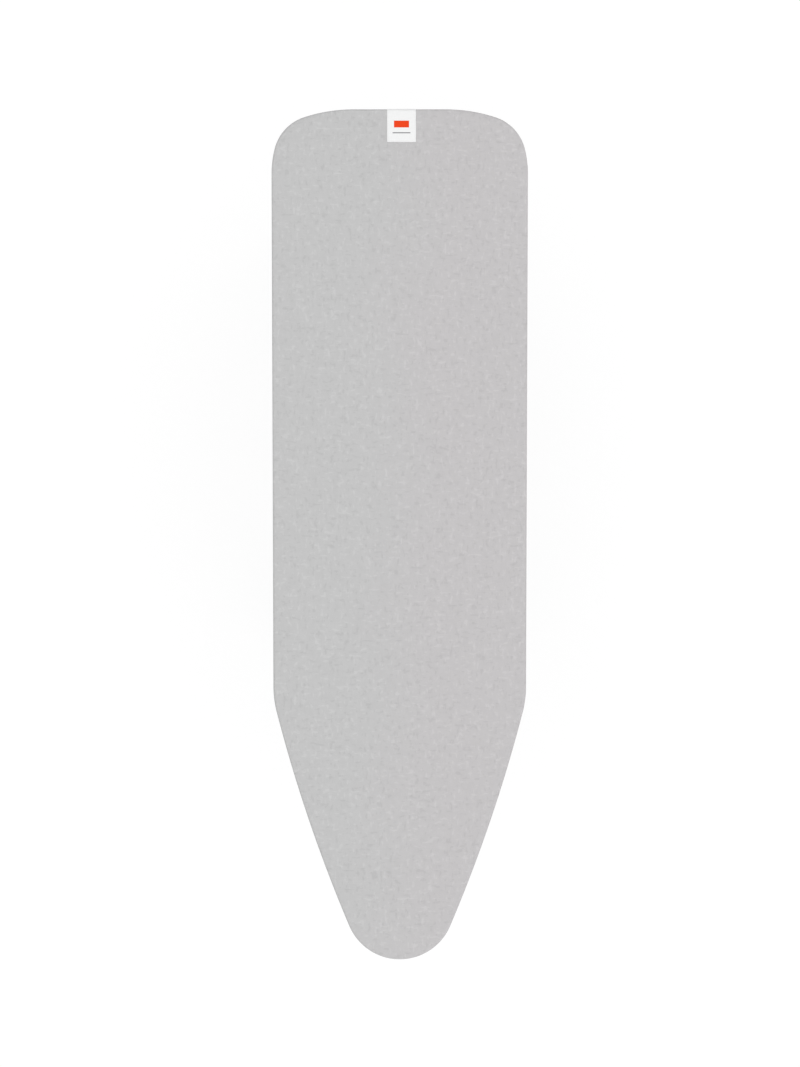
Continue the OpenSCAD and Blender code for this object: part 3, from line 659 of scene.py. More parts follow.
FINISH_OF_SLOT = {
    "sheet_steel": PLATE_COAT, "painted_frame": POWDER, "zinc_plate": ZINC, "lever_steel": LEVER_ZINC,
    "spring_steel": SPRING_WIRE, "dark_plastic": DARK_PLASTIC, "foot_plastic": FOOT_PLASTIC, "nylon": NYLON,
    "cover_cloth": CLOTH, "elastic_tape": ELASTIC, "label_weave": LABEL_THREAD, "foam": FOAM, "felt": FELT,
}


# ---------------- mesh building


def turn_about(points: np.ndarray, angle: float, axis: Axis) -> np.ndarray:
    """Turns points about an axis by an angle in radians."""
    cos, sin = math.cos(angle), math.sin(angle)
    first, second = (axis.value + 1) % 3, (axis.value + 2) % 3
    turned = points.copy()
    turned[:, first] = points[:, first] * cos - points[:, second] * sin
    turned[:, second] = points[:, first] * sin + points[:, second] * cos
    return turned


class Shell:
    """Points and faces that are gathered for one piece and then made into a mesh."""

    def __init__(self) -> None:
        """Starts with no points."""
        self.points: list[np.ndarray] = []
        self.faces: list[tuple[int, ...]] = []
        self.count = 0

    def add(self, points: np.ndarray, faces: Iterable[Sequence[int]]) -> "Shell":
        """Adds points and the faces that join them.

        Args:
            points: An array of places, one a row.
            faces: Rows of indices into points.

        Returns:
            This shell.
        """
        self.points.append(np.asarray(points, float))
        self.faces.extend(tuple(int(i) + self.count for i in face) for face in faces)
        self.count += len(points)
        return self

    def loft(self, rings: Sequence[np.ndarray], loop: bool = False, caps: bool = True) -> "Shell":
        """Joins closed rings of equal length with four-sided faces.

        Args:
            rings: Arrays of places.
            loop: Whether the last ring joins the first.
            caps: Whether the end rings are filled, where there is no loop.

        Returns:
            This shell.
        """
        count, size = len(rings), len(rings[0])
        here = np.arange(size)
        there = (here + 1) % size
        faces: list[Sequence[int]] = []
        for i in range(count if loop else count - 1):
            a, b = i * size, (i + 1) % count * size
            faces.extend(np.stack([a + here, a + there, b + there, b + here], axis=1).tolist())
        if caps and not loop:
            faces += [list(range(size))[::-1], [(count - 1) * size + i for i in range(size)]]
        return self.add(np.concatenate(rings), faces)

    def turned(self, profile: Sequence[tuple[float, float]], start: Sequence[float], axis: Axis,
               sides: int = 48, sign: float = 1.0,
               shape: Callable[[np.ndarray, float], np.ndarray] | None = None) -> "Shell":
        """Turns a profile about an axis.

        Args:
            profile: Pairs of place along the axis and radius.
            start: Where the axis starts.
            axis: Its direction.
            sides: Number of points round it.
            sign: -1 where the profile runs the other way along the axis.
            shape: Changes the radius by angle, for hexagons and ribs.

        Returns:
            This shell.
        """
        angles = np.arange(sides) * TURN / sides
        first, second = (axis.value + 1) % 3, (axis.value + 2) % 3
        rings = []
        for along, radius in profile:
            reach = shape(angles, radius) if shape else np.full(sides, radius)
            ring = np.zeros((sides, 3))
            ring[:, axis.value] = sign * along
            ring[:, first] = reach * np.cos(angles)
            ring[:, second] = reach * np.sin(angles)
            rings.append(ring + np.asarray(start, float))
        return self.loft(rings)

    def swept(self, path: np.ndarray, radius: float | np.ndarray, sides: int, loop: bool = False) -> "Shell":
        """Sweeps a circle along a path.

        Args:
            path: Places along the path.
            radius: One radius, or one for each place.
            sides: Number of points round it.
            loop: Whether the path closes on itself.

        Returns:
            This shell.
        """
        return self.loft(tube_rings(path, radius, sides, loop), loop=loop)

    def move(self, change: Callable[[np.ndarray], np.ndarray]) -> "Shell":
        """Puts every point through a change of place."""
        self.points = [change(points) for points in self.points]
        return self

    def make(self, name: str, body: Body, slot: str, replaces: Sequence[str] = (),
             finish: Finish | None = None, merge: float = 0.0, sharp: float = 40.0) -> Object:
        """Makes the piece and lets it ride on its body.

        Args:
            name: The piece's name.
            body: The body that it rides on.
            slot: The record's material slot.
            replaces: The CAD nodes that it stands for.
            finish: What it is made of, where that isn't its slot's finish.
            merge: Distance within which points are joined, or 0.
            sharp: Angle in degrees above which an edge stays sharp.

        Returns:
            The new object.
        """
        mesh = bpy.data.meshes.new(name)
        mesh.from_pydata(np.concatenate(self.points).tolist(), [], self.faces)
        work = bmesh.new()
        work.from_mesh(mesh)
        if merge:
            bmesh.ops.remove_doubles(work, verts=work.verts, dist=merge)
        bmesh.ops.recalc_face_normals(work, faces=work.faces)
        for face in work.faces:
            face.smooth = True
        work.to_mesh(mesh)
        work.free()
        mesh.set_sharp_from_angle(angle=math.radians(sharp))
        return settle(put_in_scene(name, mesh), body, slot, replaces, finish)


def put_in_scene(name: str, data: bpy.types.ID) -> Object:
    """Makes an object from a mesh, a light or a camera and links it to the scene."""
    thing = bpy.data.objects.new(name, data)
    bpy.context.collection.objects.link(thing)
    return thing


def settle(piece: Object, body: Body, slot: str, replaces: Sequence[str],
           finish: Finish | None = None) -> Object:
    """Gives a piece the material of its slot, lets it ride on its body, hides the nodes that it stands for,
    and reports it.
    """
    piece.data.materials.clear()
    piece.data.materials.append((finish or FINISH_OF_SLOT[slot]).material())
    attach(piece, body.value)
    if replaces:
        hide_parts(*replaces)
    LOG.info("%s rides on %s, %d faces", piece.name, body.value, len(piece.data.polygons))
    return piece


def tube_rings(path: np.ndarray, radius: float | np.ndarray, sides: int,
               loop: bool = False) -> list[np.ndarray]:
    """Lays circles along a path without twist.

    Args:
        path: Places along the path.
        radius: One radius, or one for each place.
        sides: Number of points round it.
        loop: Whether the path closes on itself.

    Returns:
        One array of places for each place of the path.
    """
    path = np.asarray(path, float)
    if loop:
        way = np.roll(path, -1, axis=0) - np.roll(path, 1, axis=0)
    else:
        way = np.gradient(path, axis=0)
    way /= np.linalg.norm(way, axis=1)[:, None]
    radii = np.broadcast_to(radius, len(path))
    angles = np.arange(sides) * TURN / sides
    normal = np.cross(way[0], (0.0, 0.0, 1.0) if abs(way[0][2]) < 0.9 else (1.0, 0.0, 0.0))
    normals = []
    for direction in way:
        normal = normal - direction * normal.dot(direction)
        normal /= np.linalg.norm(normal)
        normals.append(normal)
    twist = 0.0
    if loop:
        back = normals[-1] - way[0] * normals[-1].dot(way[0])
        twist = math.atan2(np.cross(back, normals[0]).dot(way[0]), back.dot(normals[0]))
    rings = []
    for i, (place, direction, side) in enumerate(zip(path, way, normals)):
        turn = angles + twist * i / len(path)
        other = np.cross(direction, side)
        rings.append(place + radii[i] * (np.cos(turn)[:, None] * side + np.sin(turn)[:, None] * other))
    return rings


HEX_ACROSS = 6.3 * MM
HEX_CORNER = 7.3 * MM
HEX_CHAMFER = 0.55 * MM


def hexagon(angles: np.ndarray, radius: float) -> np.ndarray:
    """Gives a hexagon's radius by angle, cut back to a circle where the radius asked for is smaller."""
    flat = HEX_ACROSS / np.cos((angles + math.pi / 6) % (math.pi / 3) - math.pi / 6)
    return np.minimum(flat, radius)


def hex_profile(start: float, height: float, both: bool) -> list[tuple[float, float]]:
    """Gives the profile of a hexagon head or nut with turned chamfers.

    Args:
        start: Where it starts along its axis.
        height: Its height.
        both: Whether both faces are chamfered, as on a nut.

    Returns:
        Pairs of place along the axis and radius.
    """
    rim = HEX_ACROSS * 0.95
    low = [(start, rim), (start + HEX_CHAMFER, HEX_CORNER)] if both else [(start, HEX_CORNER)]
    return low + [(start + height - HEX_CHAMFER, HEX_CORNER), (start + height, rim)]


def centre(low: Sequence[float], high: Sequence[float]) -> tuple[float, ...]:
    """Finds the middle of a box from its corners."""
    return tuple((a + b) / 2 for a, b in zip(low, high))


def reach_across(low: Sequence[float], high: Sequence[float]) -> tuple[float, float, float]:
    """Finds on which side of the board a box lies and how far it reaches.

    Args:
        low: Its lowest corner.
        high: Its highest corner.

    Returns:
        1 on the right or -1 on the left, and the distances of its inner and outer end from the middle.
    """
    inner, outer = sorted((abs(low[0]), abs(high[0])))
    return math.copysign(1, low[0] + high[0]), inner, outer


def islands(node: str) -> list[tuple[Vector, Vector]]:
    """Finds the separate solids of a CAD node.

    Args:
        node: The node's name.

    Returns:
        The lowest and highest corner of each solid.
    """
    work = bmesh.new()
    work.from_mesh(frame["nodes"][node].data)
    bmesh.ops.remove_doubles(work, verts=work.verts, dist=TOUCHING)
    left, boxes = set(work.verts), []
    while left:
        queue, found = [left.pop()], []
        while queue:
            vertex = queue.pop()
            found.append(vertex.co.copy())
            for edge in vertex.link_edges:
                other = edge.other_vert(vertex)
                if other in left:
                    left.remove(other)
                    queue.append(other)
        places = np.array(found)
        boxes.append((Vector(places.min(axis=0)), Vector(places.max(axis=0))))
    work.free()
    return sorted(boxes, key=lambda box: tuple(box[0]))


SAME_POINT = 0.004 * MM
FLAT_BELOW = math.radians(1)
ROUND_ABOVE = math.radians(28)
SHARP_ABOVE = math.radians(30)
ROUND_STEPS = 3


def soften(node: str, width: float) -> None:
    """Makes a piece from a rigid CAD node with its edges rounded, and stands it in for the node.

    Args:
        node: The node's name.
        width: Width of the rounding.
    """
    work = bmesh.new()
    work.from_mesh(frame["nodes"][node].data)
    bmesh.ops.remove_doubles(work, verts=work.verts, dist=SAME_POINT)
    bmesh.ops.dissolve_limit(work, angle_limit=FLAT_BELOW, verts=work.verts, edges=work.edges)
    edges = [edge for edge in work.edges if edge.is_manifold and edge.calc_face_angle(0.0) > ROUND_ABOVE]
    bmesh.ops.bevel(work, geom=edges, offset=width, offset_type="OFFSET", segments=ROUND_STEPS, profile=0.5,
                    affect="EDGES", clamp_overlap=True)
    bmesh.ops.remove_doubles(work, verts=work.verts, dist=SAME_POINT / 2)
    for face in work.faces:
        face.smooth = True
    mesh = bpy.data.meshes.new(f"{node}_rounded")
    work.to_mesh(mesh)
    work.free()
    mesh.set_sharp_from_angle(angle=SHARP_ABOVE)
    settle(put_in_scene(f"{node}_rounded", mesh), BODY_OF[node], SLOT_OF[node], (node,))


# ---------------- the ironing top


@dataclass(frozen=True)
class Arc:
    """An arc of the outline: its centre, its radius and the directions of its ends in degrees."""

    centre: tuple[float, float]
    radius: float
    start: float
    end: float


@dataclass(frozen=True)
class Loop:
    """Places, outward directions and curvature at even steps round the board, from the nose tip."""

    place: np.ndarray
    out: np.ndarray
    curve: np.ndarray
    along: np.ndarray
    length: float

    def inset(self, depth: float | np.ndarray, height: float | np.ndarray) -> np.ndarray:
        """Gives the ring that lies depth inside the outline, at a height."""
        ring = np.zeros((len(self.place), 3))
        ring[:, :2] = self.place - self.out * np.broadcast_to(depth, len(self.place))[:, None]
        ring[:, 2] = height
        return ring

    def tangent(self) -> np.ndarray:
        """Gives the direction along the outline at each place."""
        return np.stack([-self.out[:, 1], self.out[:, 0]], axis=1)

    def area(self, depth: float) -> float:
        """Gives the area of the plan with its edge moved in by a depth, or out where that is negative."""
        x, y, _ = self.inset(depth, 0.0).T
        return abs(np.dot(x, np.roll(y, -1)) - np.dot(y, np.roll(x, -1))) / 2


@dataclass(frozen=True)
class Outline:
    """Plan of the ironing top: six arcs a side that meet at a common tangent, and a straight between them."""

    arc_points: ClassVar[int] = 160
    blur_points: ClassVar[int] = 31
    lead: ClassVar[int] = 40
    length: float = 1.240
    rear_width: float = 0.374
    shoulder_width: float = 0.3685
    nose_radius: float = 0.080
    taper_nose: float = 23.0
    taper_shoulder: float = 14.5
    shoulder_radius: float = 0.150
    corner_radius: float = 0.065
    side_blend_radius: float = 0.150
    crown_radius: float = 0.235
    side_angle: float = 14.0
    corner_angle: float = 72.0

    @staticmethod
    def step(centre: np.ndarray, distance: float, angle: float) -> np.ndarray:
        """Moves a centre by a distance towards an angle in degrees."""
        turn = math.radians(angle)
        return centre + distance * np.array([math.cos(turn), math.sin(turn)])

    def arcs(self) -> list[Arc]:
        """Works out the arcs of the right side, from the nose tip to the middle of the square end.

        Returns:
            The arcs in order.
        """
        nose_cos, shoulder_cos = (math.cos(math.radians(a)) for a in (self.taper_nose, self.taper_shoulder))
        spare = self.shoulder_width / 2 - self.nose_radius * nose_cos
        spare += self.shoulder_radius * shoulder_cos - self.shoulder_radius
        flank = spare / (shoulder_cos - nose_cos)
        nose = np.array([0.0, self.nose_radius - self.length / 2])
        flank_at = self.step(nose, self.nose_radius - flank, -self.taper_nose)
        shoulder = self.step(flank_at, flank - self.shoulder_radius, -self.taper_shoulder)
        blend_sin, corner_sin = (math.sin(math.radians(a)) for a in (self.side_angle, self.corner_angle))
        rise = (self.side_blend_radius - self.corner_radius) * blend_sin
        rise += (self.corner_radius - self.crown_radius) * corner_sin
        blend = np.array([self.rear_width / 2 - self.side_blend_radius,
                          self.length / 2 - self.crown_radius - rise])
        corner = self.step(blend, self.side_blend_radius - self.corner_radius, self.side_angle)
        crown = self.step(corner, self.corner_radius - self.crown_radius, self.corner_angle)
        return [Arc(tuple(nose), self.nose_radius, -90, -self.taper_nose),
                Arc(tuple(flank_at), flank, -self.taper_nose, -self.taper_shoulder),
                Arc(tuple(shoulder), self.shoulder_radius, -self.taper_shoulder, 0),
                Arc(tuple(blend), self.side_blend_radius, 0, self.side_angle),
                Arc(tuple(corner), self.corner_radius, self.side_angle, self.corner_angle),
                Arc(tuple(crown), self.crown_radius, self.corner_angle, 90)]

    def loop(self, count: int) -> Loop:
        """Samples the whole outline at even steps.

        Args:
            count: Number of places.

        Returns:
            The sampled outline.
        """
        places, angles = [], []
        for arc in self.arcs():
            turn = np.linspace(arc.start, arc.end, self.arc_points)
            around = np.stack([np.cos(np.radians(turn)), np.sin(np.radians(turn))], axis=1)
            places.append(np.array(arc.centre) + arc.radius * around)
            angles.append(turn)
        right, angle = np.concatenate(places), np.concatenate(angles)
        place = np.concatenate([right, right[-2:0:-1] * (-1, 1), right[:1]])
        angle = np.concatenate([angle, 180 - angle[-2:0:-1], [270.0]])
        along = np.concatenate([[0.0], np.cumsum(np.linalg.norm(np.diff(place, axis=0), axis=1))])
        even = np.arange(count) * along[-1] / count
        turn = np.radians(np.interp(even, along, angle))
        round_twice = np.unwrap(np.concatenate([turn[-self.lead:] - TURN, turn, turn[:self.lead] + TURN]))
        window = np.hanning(self.blur_points)
        curve = np.gradient(round_twice) / (along[-1] / count)
        curve = np.convolve(curve, window / window.sum(), "same")[self.lead:-self.lead]
        spots = np.stack([np.interp(even, along, place[:, k]) for k in (0, 1)], axis=1)
        return Loop(spots, np.stack([np.cos(turn), np.sin(turn)], axis=1), curve, even, float(along[-1]))


def wander(loop: Loop, seed: int, low: int, high: int) -> np.ndarray:
    """Gives a smooth random curve round the board, of about unit height.

    Args:
        loop: The sampled outline.
        seed: Seed of the random numbers.
        low: Least number of waves round the board.
        high: Greatest number of waves.

    Returns:
        One value for each place of the loop.
    """
    draw = np.random.default_rng(seed)
    turn = loop.along / loop.length * TURN
    waves = [np.sin(k * turn + draw.uniform(0, TURN)) * draw.uniform(0.4, 1.0) for k in range(low, high)]
    return np.sum(waves, axis=0) / math.sqrt((high - low) / 4)


@dataclass(frozen=True)
class HemFolds:
    """Folds of the hem, found by letting the elastic gather a strip of cloth.

    The strip is held along the edge channel. Its free part is cut longer than the way round the board, so it
    buckles, and folds that would hang down lie turned up instead. Each table holds one row for each depth
    inside the outline.
    """

    crease: ClassVar[float] = 0.4 * MM
    highest: ClassVar[float] = 5.0 * MM
    slip_limit: ClassVar[float] = 1.1 * MM
    shift_limits: ClassVar[tuple[float, float]] = (-MM, 0.4 * MM)
    frames: ClassVar[int] = 16
    settings: ClassVar[dict[str, object]] = {
        "quality": 6, "mass": 0.1, "tension_stiffness": 30, "compression_stiffness": 30,
        "shear_stiffness": 8, "bending_stiffness": 0.5, "shrink_max": 0.0,
        "vertex_group_mass": "held", "vertex_group_shrink": "taut",
    }
    depths: np.ndarray
    rise: np.ndarray
    slip: np.ndarray
    shift: np.ndarray

    @classmethod
    def gather(cls, loop: Loop, depths: np.ndarray, start: np.ndarray, excess: np.ndarray) -> "HemFolds":
        """Runs the cloth and reads its folds.

        Args:
            loop: The sampled outline.
            depths: Depths of the strip's rows, the first two of which are held.
            start: Height of the first ripple at each place of each row.
            excess: Share of extra cloth at each place of each row.

        Returns:
            The folds as tables.
        """
        rows, count = start.shape
        rest = [loop.inset(depth, lift) for depth, lift in zip(depths, start)]
        mesh = bpy.data.meshes.new("hem_strip")
        faces = []
        for k in range(rows - 1):
            for i in range(count):
                here, there = k * count + i, k * count + (i + 1) % count
                faces.append((here, there, there + count, here + count))
        mesh.from_pydata(np.concatenate(rest).tolist(), [], faces)
        strip = put_in_scene("hem_strip", mesh)
        held, taut = strip.vertex_groups.new(name="held"), strip.vertex_groups.new(name="taut")
        held.add(list(range(2 * count)), 1.0, "REPLACE")
        for index, share in enumerate((1 - excess / excess.max()).ravel()):
            taut.add([index], float(share), "REPLACE")
        cloth = strip.modifiers.new("gather", "CLOTH")
        for setting, value in cls.settings.items():
            setattr(cloth.settings, setting, value)
        cloth.settings.shrink_min = -float(excess.max())
        cloth.settings.effector_weights.gravity = 0
        cloth.collision_settings.use_collision = False
        cloth.point_cache.frame_start, cloth.point_cache.frame_end = 1, cls.frames
        scene = bpy.context.scene
        for frame_number in range(1, cls.frames + 1):
            scene.frame_set(frame_number)
        settled = strip.evaluated_get(bpy.context.evaluated_depsgraph_get()).data
        spots = np.empty(rows * count * 3)
        settled.vertices.foreach_get("co", spots)
        spots = spots.reshape(rows, count, 3)
        flat = np.stack([loop.inset(depth, 0.0) for depth in depths])
        moved = spots - flat
        slip = (moved[..., :2] * loop.tangent()).sum(axis=2)
        shift = -(moved[..., :2] * loop.out).sum(axis=2)
        rise = np.sqrt(moved[..., 2] ** 2 + cls.crease ** 2) - cls.crease
        rise = cls.highest * np.tanh(rise / cls.highest)
        scene.frame_set(1)
        bpy.data.objects.remove(strip)
        LOG.info("hem gathered: it rises up to %.1f mm", rise.max() / MM)
        smooth = [(np.roll(table, 1, axis=1) + 2 * table + np.roll(table, -1, axis=1)) / 4
                  for table in (rise, slip, shift - shift.mean(axis=1, keepdims=True))]
        slip = np.clip(smooth[1], -cls.slip_limit, cls.slip_limit)
        return cls(depths, smooth[0], slip, np.clip(smooth[2], *cls.shift_limits))

    def at(self, depth: float) -> tuple[np.ndarray, np.ndarray, np.ndarray]:
        """Reads rise, slip and shift at a depth inside the outline."""
        spot = float(np.interp(depth, self.depths, np.arange(len(self.depths))))
        low = min(int(spot), len(self.depths) - 2)
        share = spot - low
        return tuple((1 - share) * table[low] + share * table[low + 1]
                     for table in (self.rise, self.slip, self.shift))


@dataclass
class IroningTop:
    """Cover with its gathered hem, elastic, stitches and label, and the pads below it."""

    outline: Outline = field(default_factory=Outline)
    points_round: int = 1680
    cloth: float = 1.0 * MM
    edge_round: float = 3.8 * MM
    edge_steps: int = 9
    skirt_steps: int = 7
    fold_round: float = 2.6 * MM
    fold_steps: int = 6
    hem: float = 38 * MM
    hem_rows: tuple[int, ...] = (6, 10, 14, 17, 20, 23, 26, 29, 31, 32, 33, 35, 37, 38)
    groove_row: int = 32
    groove: float = 0.25 * MM
    strip_rows: tuple[float, ...] = (11, 14, 16.5, 19, 21.5, 24, 26.5, 29, 31.5, 34, 36, 38)
    held_to: float = 14 * MM
    free_width: float = 24 * MM
    tape: float = 6 * MM
    tape_at: float = 34.9 * MM
    tape_corner: float = 0.3 * MM
    tape_rib: float = 0.12 * MM
    seam_lanes: tuple[float, float] = (33.4 * MM, 36.4 * MM)
    seam_thread: float = 0.2 * MM
    gathers: int = 236
    extra_cloth: float = 0.17
    most_curve: float = 0.5
    ripple_from: float = 13 * MM
    ripple_rise: float = 1.5 * MM
    ripple_slip: float = 0.55 * MM
    ripple_fine: float = 0.35 * MM
    skirt_ripple: float = 0.3 * MM
    spine_low: float = -0.525
    spine_high: float = 0.470
    dent: float = 0.32 * MM
    label_drop: float = 9 * MM
    label_clear: float = 4 * MM
    label_blend: float = 15 * MM
    stitch_pitch: float = 3.0 * MM
    stitch: float = 2.1 * MM
    stitch_inset: float = 1.6 * MM
    felt_inset: float = 1.5 * MM
    pad_wrap: float = 1.45 * MM
    pad_points: int = 360
    pad_gap: float = 0.05 * MM
    pad_wave: float = 0.45 * MM

    def __post_init__(self) -> None:
        """Samples the outline and reads the heights of the layers."""
        self.loop = self.outline.loop(self.points_round)
        self.low, self.high = (corner[2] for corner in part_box("cover"))
        curve = np.clip(self.loop.curve * self.hem, 0.0, 0.6)
        turn = TURN * self.loop.along / self.loop.length
        self.phase = self.gathers * turn + 1.5 * wander(self.loop, seed=5, low=6, high=60)
        spread = 1 + 0.3 * wander(self.loop, seed=11, low=20, high=90)
        self.amount = np.clip(spread, 0.45, 1.5) * (1.25 + 2.6 * curve)
        low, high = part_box("label")
        off = np.abs(self.loop.place[:, 0] - centre(low, high)[0]) - (high[0] - low[0]) / 2 - self.label_clear
        beside = np.clip(off / self.label_blend, 0, 1)
        self.slack = np.where(self.loop.place[:, 1] > low[1], beside, 1.0)
        self.folds = self.settle_hem()

    def settle_hem(self) -> HemFolds:
        """Gathers the hem as cloth, from a low ripple and with more cloth towards its edge."""
        depths = np.array(self.strip_rows) * MM
        share = np.clip((depths - self.held_to) / self.free_width, 0, 1)[:, None]
        start = np.stack([0.35 * self.gather(depth)[0] for depth in depths])
        more = 1 + 0.5 * np.clip(self.loop.curve * self.hem, 0.0, self.most_curve)
        return HemFolds.gather(self.loop, depths, start, self.extra_cloth * share * more)

    def gather(self, depth: float) -> tuple[np.ndarray, np.ndarray]:
        """Args:
            depth: Distance inside the outline.

        Returns:
            How far the hem rises, and how far it slips along the outline.
        """
        share = np.clip((depth - self.ripple_from) / (self.hem - self.ripple_from), 0.0, 1.0) ** 1.3
        fold = ((1 + np.cos(self.phase)) / 2) ** 1.7
        fine = self.ripple_fine * share ** 3 * np.sin(2 * self.phase + 3 * np.sin(self.phase))
        rise = self.amount * share * fold * self.ripple_rise + fine
        return rise, self.amount * share * np.sin(self.phase + 0.7) * self.ripple_slip

    def ring(self, depth: float, height: float, skirt: float = 0.0, hem: float = 0.0) -> np.ndarray:
        """Places one ring of the cover.

        Args:
            depth: Distance inside the outline.
            height: Height of the ring.
            skirt: Share of the skirt's ripple.
            hem: Distance inside the outline that the gathers are taken at, or 0 for none.

        Returns:
            The places of the ring.
        """
        waves = (0.5 + 0.5 * np.cos(self.phase)) * np.clip(self.amount / 2, 0, 1.4)
        ripple = skirt * self.slack * self.skirt_ripple * waves
        rise, slip, shift = 0.0, 0.0, 0.0
        if hem and self.folds:
            rise, slip, shift = self.folds.at(hem)
        elif hem:
            rise, slip = self.gather(hem)
        ring = self.loop.inset(depth - ripple + shift, height + rise)
        ring[:, :2] += self.loop.tangent() * np.broadcast_to(slip, self.points_round)[:, None]
        return ring

    def spine(self, height: float) -> np.ndarray:
        """Places the points of the cover's middle line, each level with its place on the outline."""
        ring = np.zeros((self.points_round, 3))
        ring[:, 1] = np.clip(self.loop.place[:, 1], self.spine_low, self.spine_high)
        ring[:, 2] = height
        return ring

    def dents(self, ring: np.ndarray) -> np.ndarray:
        """Lowers the flat of the cover a little where the pad gives, never above its height."""
        x, y = ring[:, 0], ring[:, 1]
        waves = (np.sin(23 * y + 6 * x) + np.sin(41 * y - 19 * x + 1.3) + np.sin(64 * y + 33 * x + 4.0)
                 + np.sin(31 * x - 12 * y + 2.1) + 0.6 * np.sin(95 * x + 40 * y))
        lowered = ring.copy()
        lowered[:, 2] -= self.dent * np.clip(0.5 + waves / 6, 0, 1)
        return lowered

    def skin(self, offset: float, steps: int) -> list[np.ndarray]:
        """Lays the rings of one face of the cloth, from the middle line to the edge of the hem.

        Args:
            offset: Distance from the outer face, 0 or the cloth's thickness.
            steps: Number of rings across the flat.

        Returns:
            The rings in order.
        """
        edge, fold = self.edge_round, self.fold_round
        top, bottom = self.high - offset, self.low + offset
        rings = [self.dents(self.spine(top))]
        flat = self.loop.inset(edge, top)
        for share in np.linspace(0, 1, steps)[1:]:
            rings.append(self.dents(rings[0] + (flat - rings[0]) * share * (1, 1, 0)))
        dip = rings[-1][:, 2] - top
        for angle in np.radians(np.linspace(0, 90, self.edge_steps)[1:]):
            reach = edge - offset
            height = top + dip * math.cos(angle) ** 2 - reach * (1 - math.cos(angle))
            rings.append(self.loop.inset(edge - reach * math.sin(angle), height))
        for share in np.linspace(0, 1, self.skirt_steps)[1:]:
            height = self.high - edge + share * (self.low + fold - self.high + edge)
            rings.append(self.ring(offset, height, skirt=share))
        for angle in np.radians(np.linspace(0, 90, self.fold_steps)[1:]):
            reach = fold - offset
            rings.append(self.ring(fold - reach * math.cos(angle), self.low + fold - reach * math.sin(angle),
                                   skirt=math.cos(angle)))
        for depth in self.hem_rows:
            groove = self.groove if depth == self.groove_row else 0.0
            rings.append(self.ring(depth * MM, bottom + groove, hem=depth * MM))
        return rings

    def drop(self) -> float:
        """Gives how far the cloth reaches past the outline when it is laid out flat."""
        return self.high - self.low + self.hem - self.edge_round

    def flat_area(self) -> float:
        """Gives the area of the cloth before it was gathered: the outline with the skirt and hem laid out."""
        return float(self.loop.area(-self.drop()))

    def build_cover(self) -> Object:
        """Builds the cover as one closed cloth."""
        rings = self.skin(0.0, steps=15) + self.skin(self.cloth, steps=8)[::-1]
        shell = Shell().loft(rings, caps=False)
        return shell.make("cotton_cover", Body.TOP, "cover_cloth", ("cover",), merge=TOUCHING, sharp=180)

    def build_elastic(self) -> Object:
        """Builds the elastic tape that lies on the gathered hem, ribbed across."""
        rib = self.tape_rib * (-1.0) ** np.arange(self.points_round)
        base = self.low + self.cloth
        side = self.tape / 2
        flat = side - self.tape_corner
        section = ((-flat, 0.05), (flat, 0.05), (side, 0.5), (flat, 0.95), (-flat, 0.95), (-side, 0.5))
        rings = []
        for off, height in section:
            ring = self.ring(self.tape_at + off, base + height * MM, hem=self.tape_at + off)
            ring[:, 2] += rib if height > 0.5 else 0.0
            rings.append(ring)
        return Shell().loft(rings, loop=True).make(
            "hem_tape", Body.TOP, "elastic_tape", ("hem_elastic",), sharp=70)

    def build_hem_stitches(self) -> Object:
        """Builds the zigzag seam that sews the tape to the hem."""
        half = self.seam_thread / 2
        lanes = [self.ring(depth, self.low - half, hem=depth) for depth in self.seam_lanes]
        path = np.array([lanes[i % 2][i] for i in range(self.points_round)])
        middle = (path + np.roll(path, -1, axis=0)) / 2 - (0, 0, half)
        path = np.stack([path, middle], axis=1).reshape(-1, 3)
        seam = Shell().swept(path, self.seam_thread, 5, loop=True)
        return seam.make("hem_seam", Body.TOP, "elastic_tape", finish=THREAD)

    def label_path(self, share: np.ndarray, x: float, rise: np.ndarray) -> np.ndarray:
        """Follows the cover from the flat over the square end and down the skirt.

        Args:
            share: Distances along the path from the inner end of the label.
            x: Place across the board.
            rise: Height above the cloth at each distance.

        Returns:
            The places of the path.
        """
        edge = self.edge_round
        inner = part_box("label")[0][1]
        rim = self.outline.length / 2
        flat = rim - edge - inner
        angle = np.clip((share - flat) / edge, 0, math.pi / 2)
        past = np.clip(share - flat - edge * math.pi / 2, 0, None)
        path = np.zeros((len(share), 3))
        path[:, 0] = x
        path[:, 1] = np.minimum(inner + share, rim - edge) + (edge + rise) * np.sin(angle)
        path[:, 2] = self.high - edge + (edge + rise) * np.cos(angle) - past
        return path

    def build_label(self) -> Object:
        """Builds the label, sewn flat and folded over the square end."""
        low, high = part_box("label")
        middle, half, inner = centre(low, high)[0], (high[0] - low[0]) / 2, low[1]
        reach = self.outline.length / 2 - inner + self.edge_round * (math.pi / 2 - 1) + self.label_drop
        share = np.concatenate([[0.0, 0.25 * MM, 0.8 * MM], np.linspace(2 * MM, reach - MM, 40), [reach]])
        across = np.concatenate([[-1, -0.985, -0.95], np.linspace(-0.9, 0.9, 13), [0.95, 0.985, 1]])
        under, lift, rim, roll, puffed = -0.25 * MM, 0.14 * MM, 0.26 * MM, 1.2 * MM, 0.16 * MM
        from_end = np.minimum(share, reach - share)

        def layer(top: bool) -> list[np.ndarray]:
            """Lays one face of the label as rows across it."""
            rows = []
            for place in across:
                near = np.clip(np.minimum(from_end, (1 - abs(place)) * half) / roll, 0, 1)
                puff = puffed * math.sqrt(max(0.0, 1 - place ** 2)) * np.sqrt(np.sin(np.pi * share / reach))
                rise = lift + rim * np.sqrt(near) + puff if top else np.full(len(share), under)
                rows.append(self.label_path(share, middle + place * half, rise))
            return rows

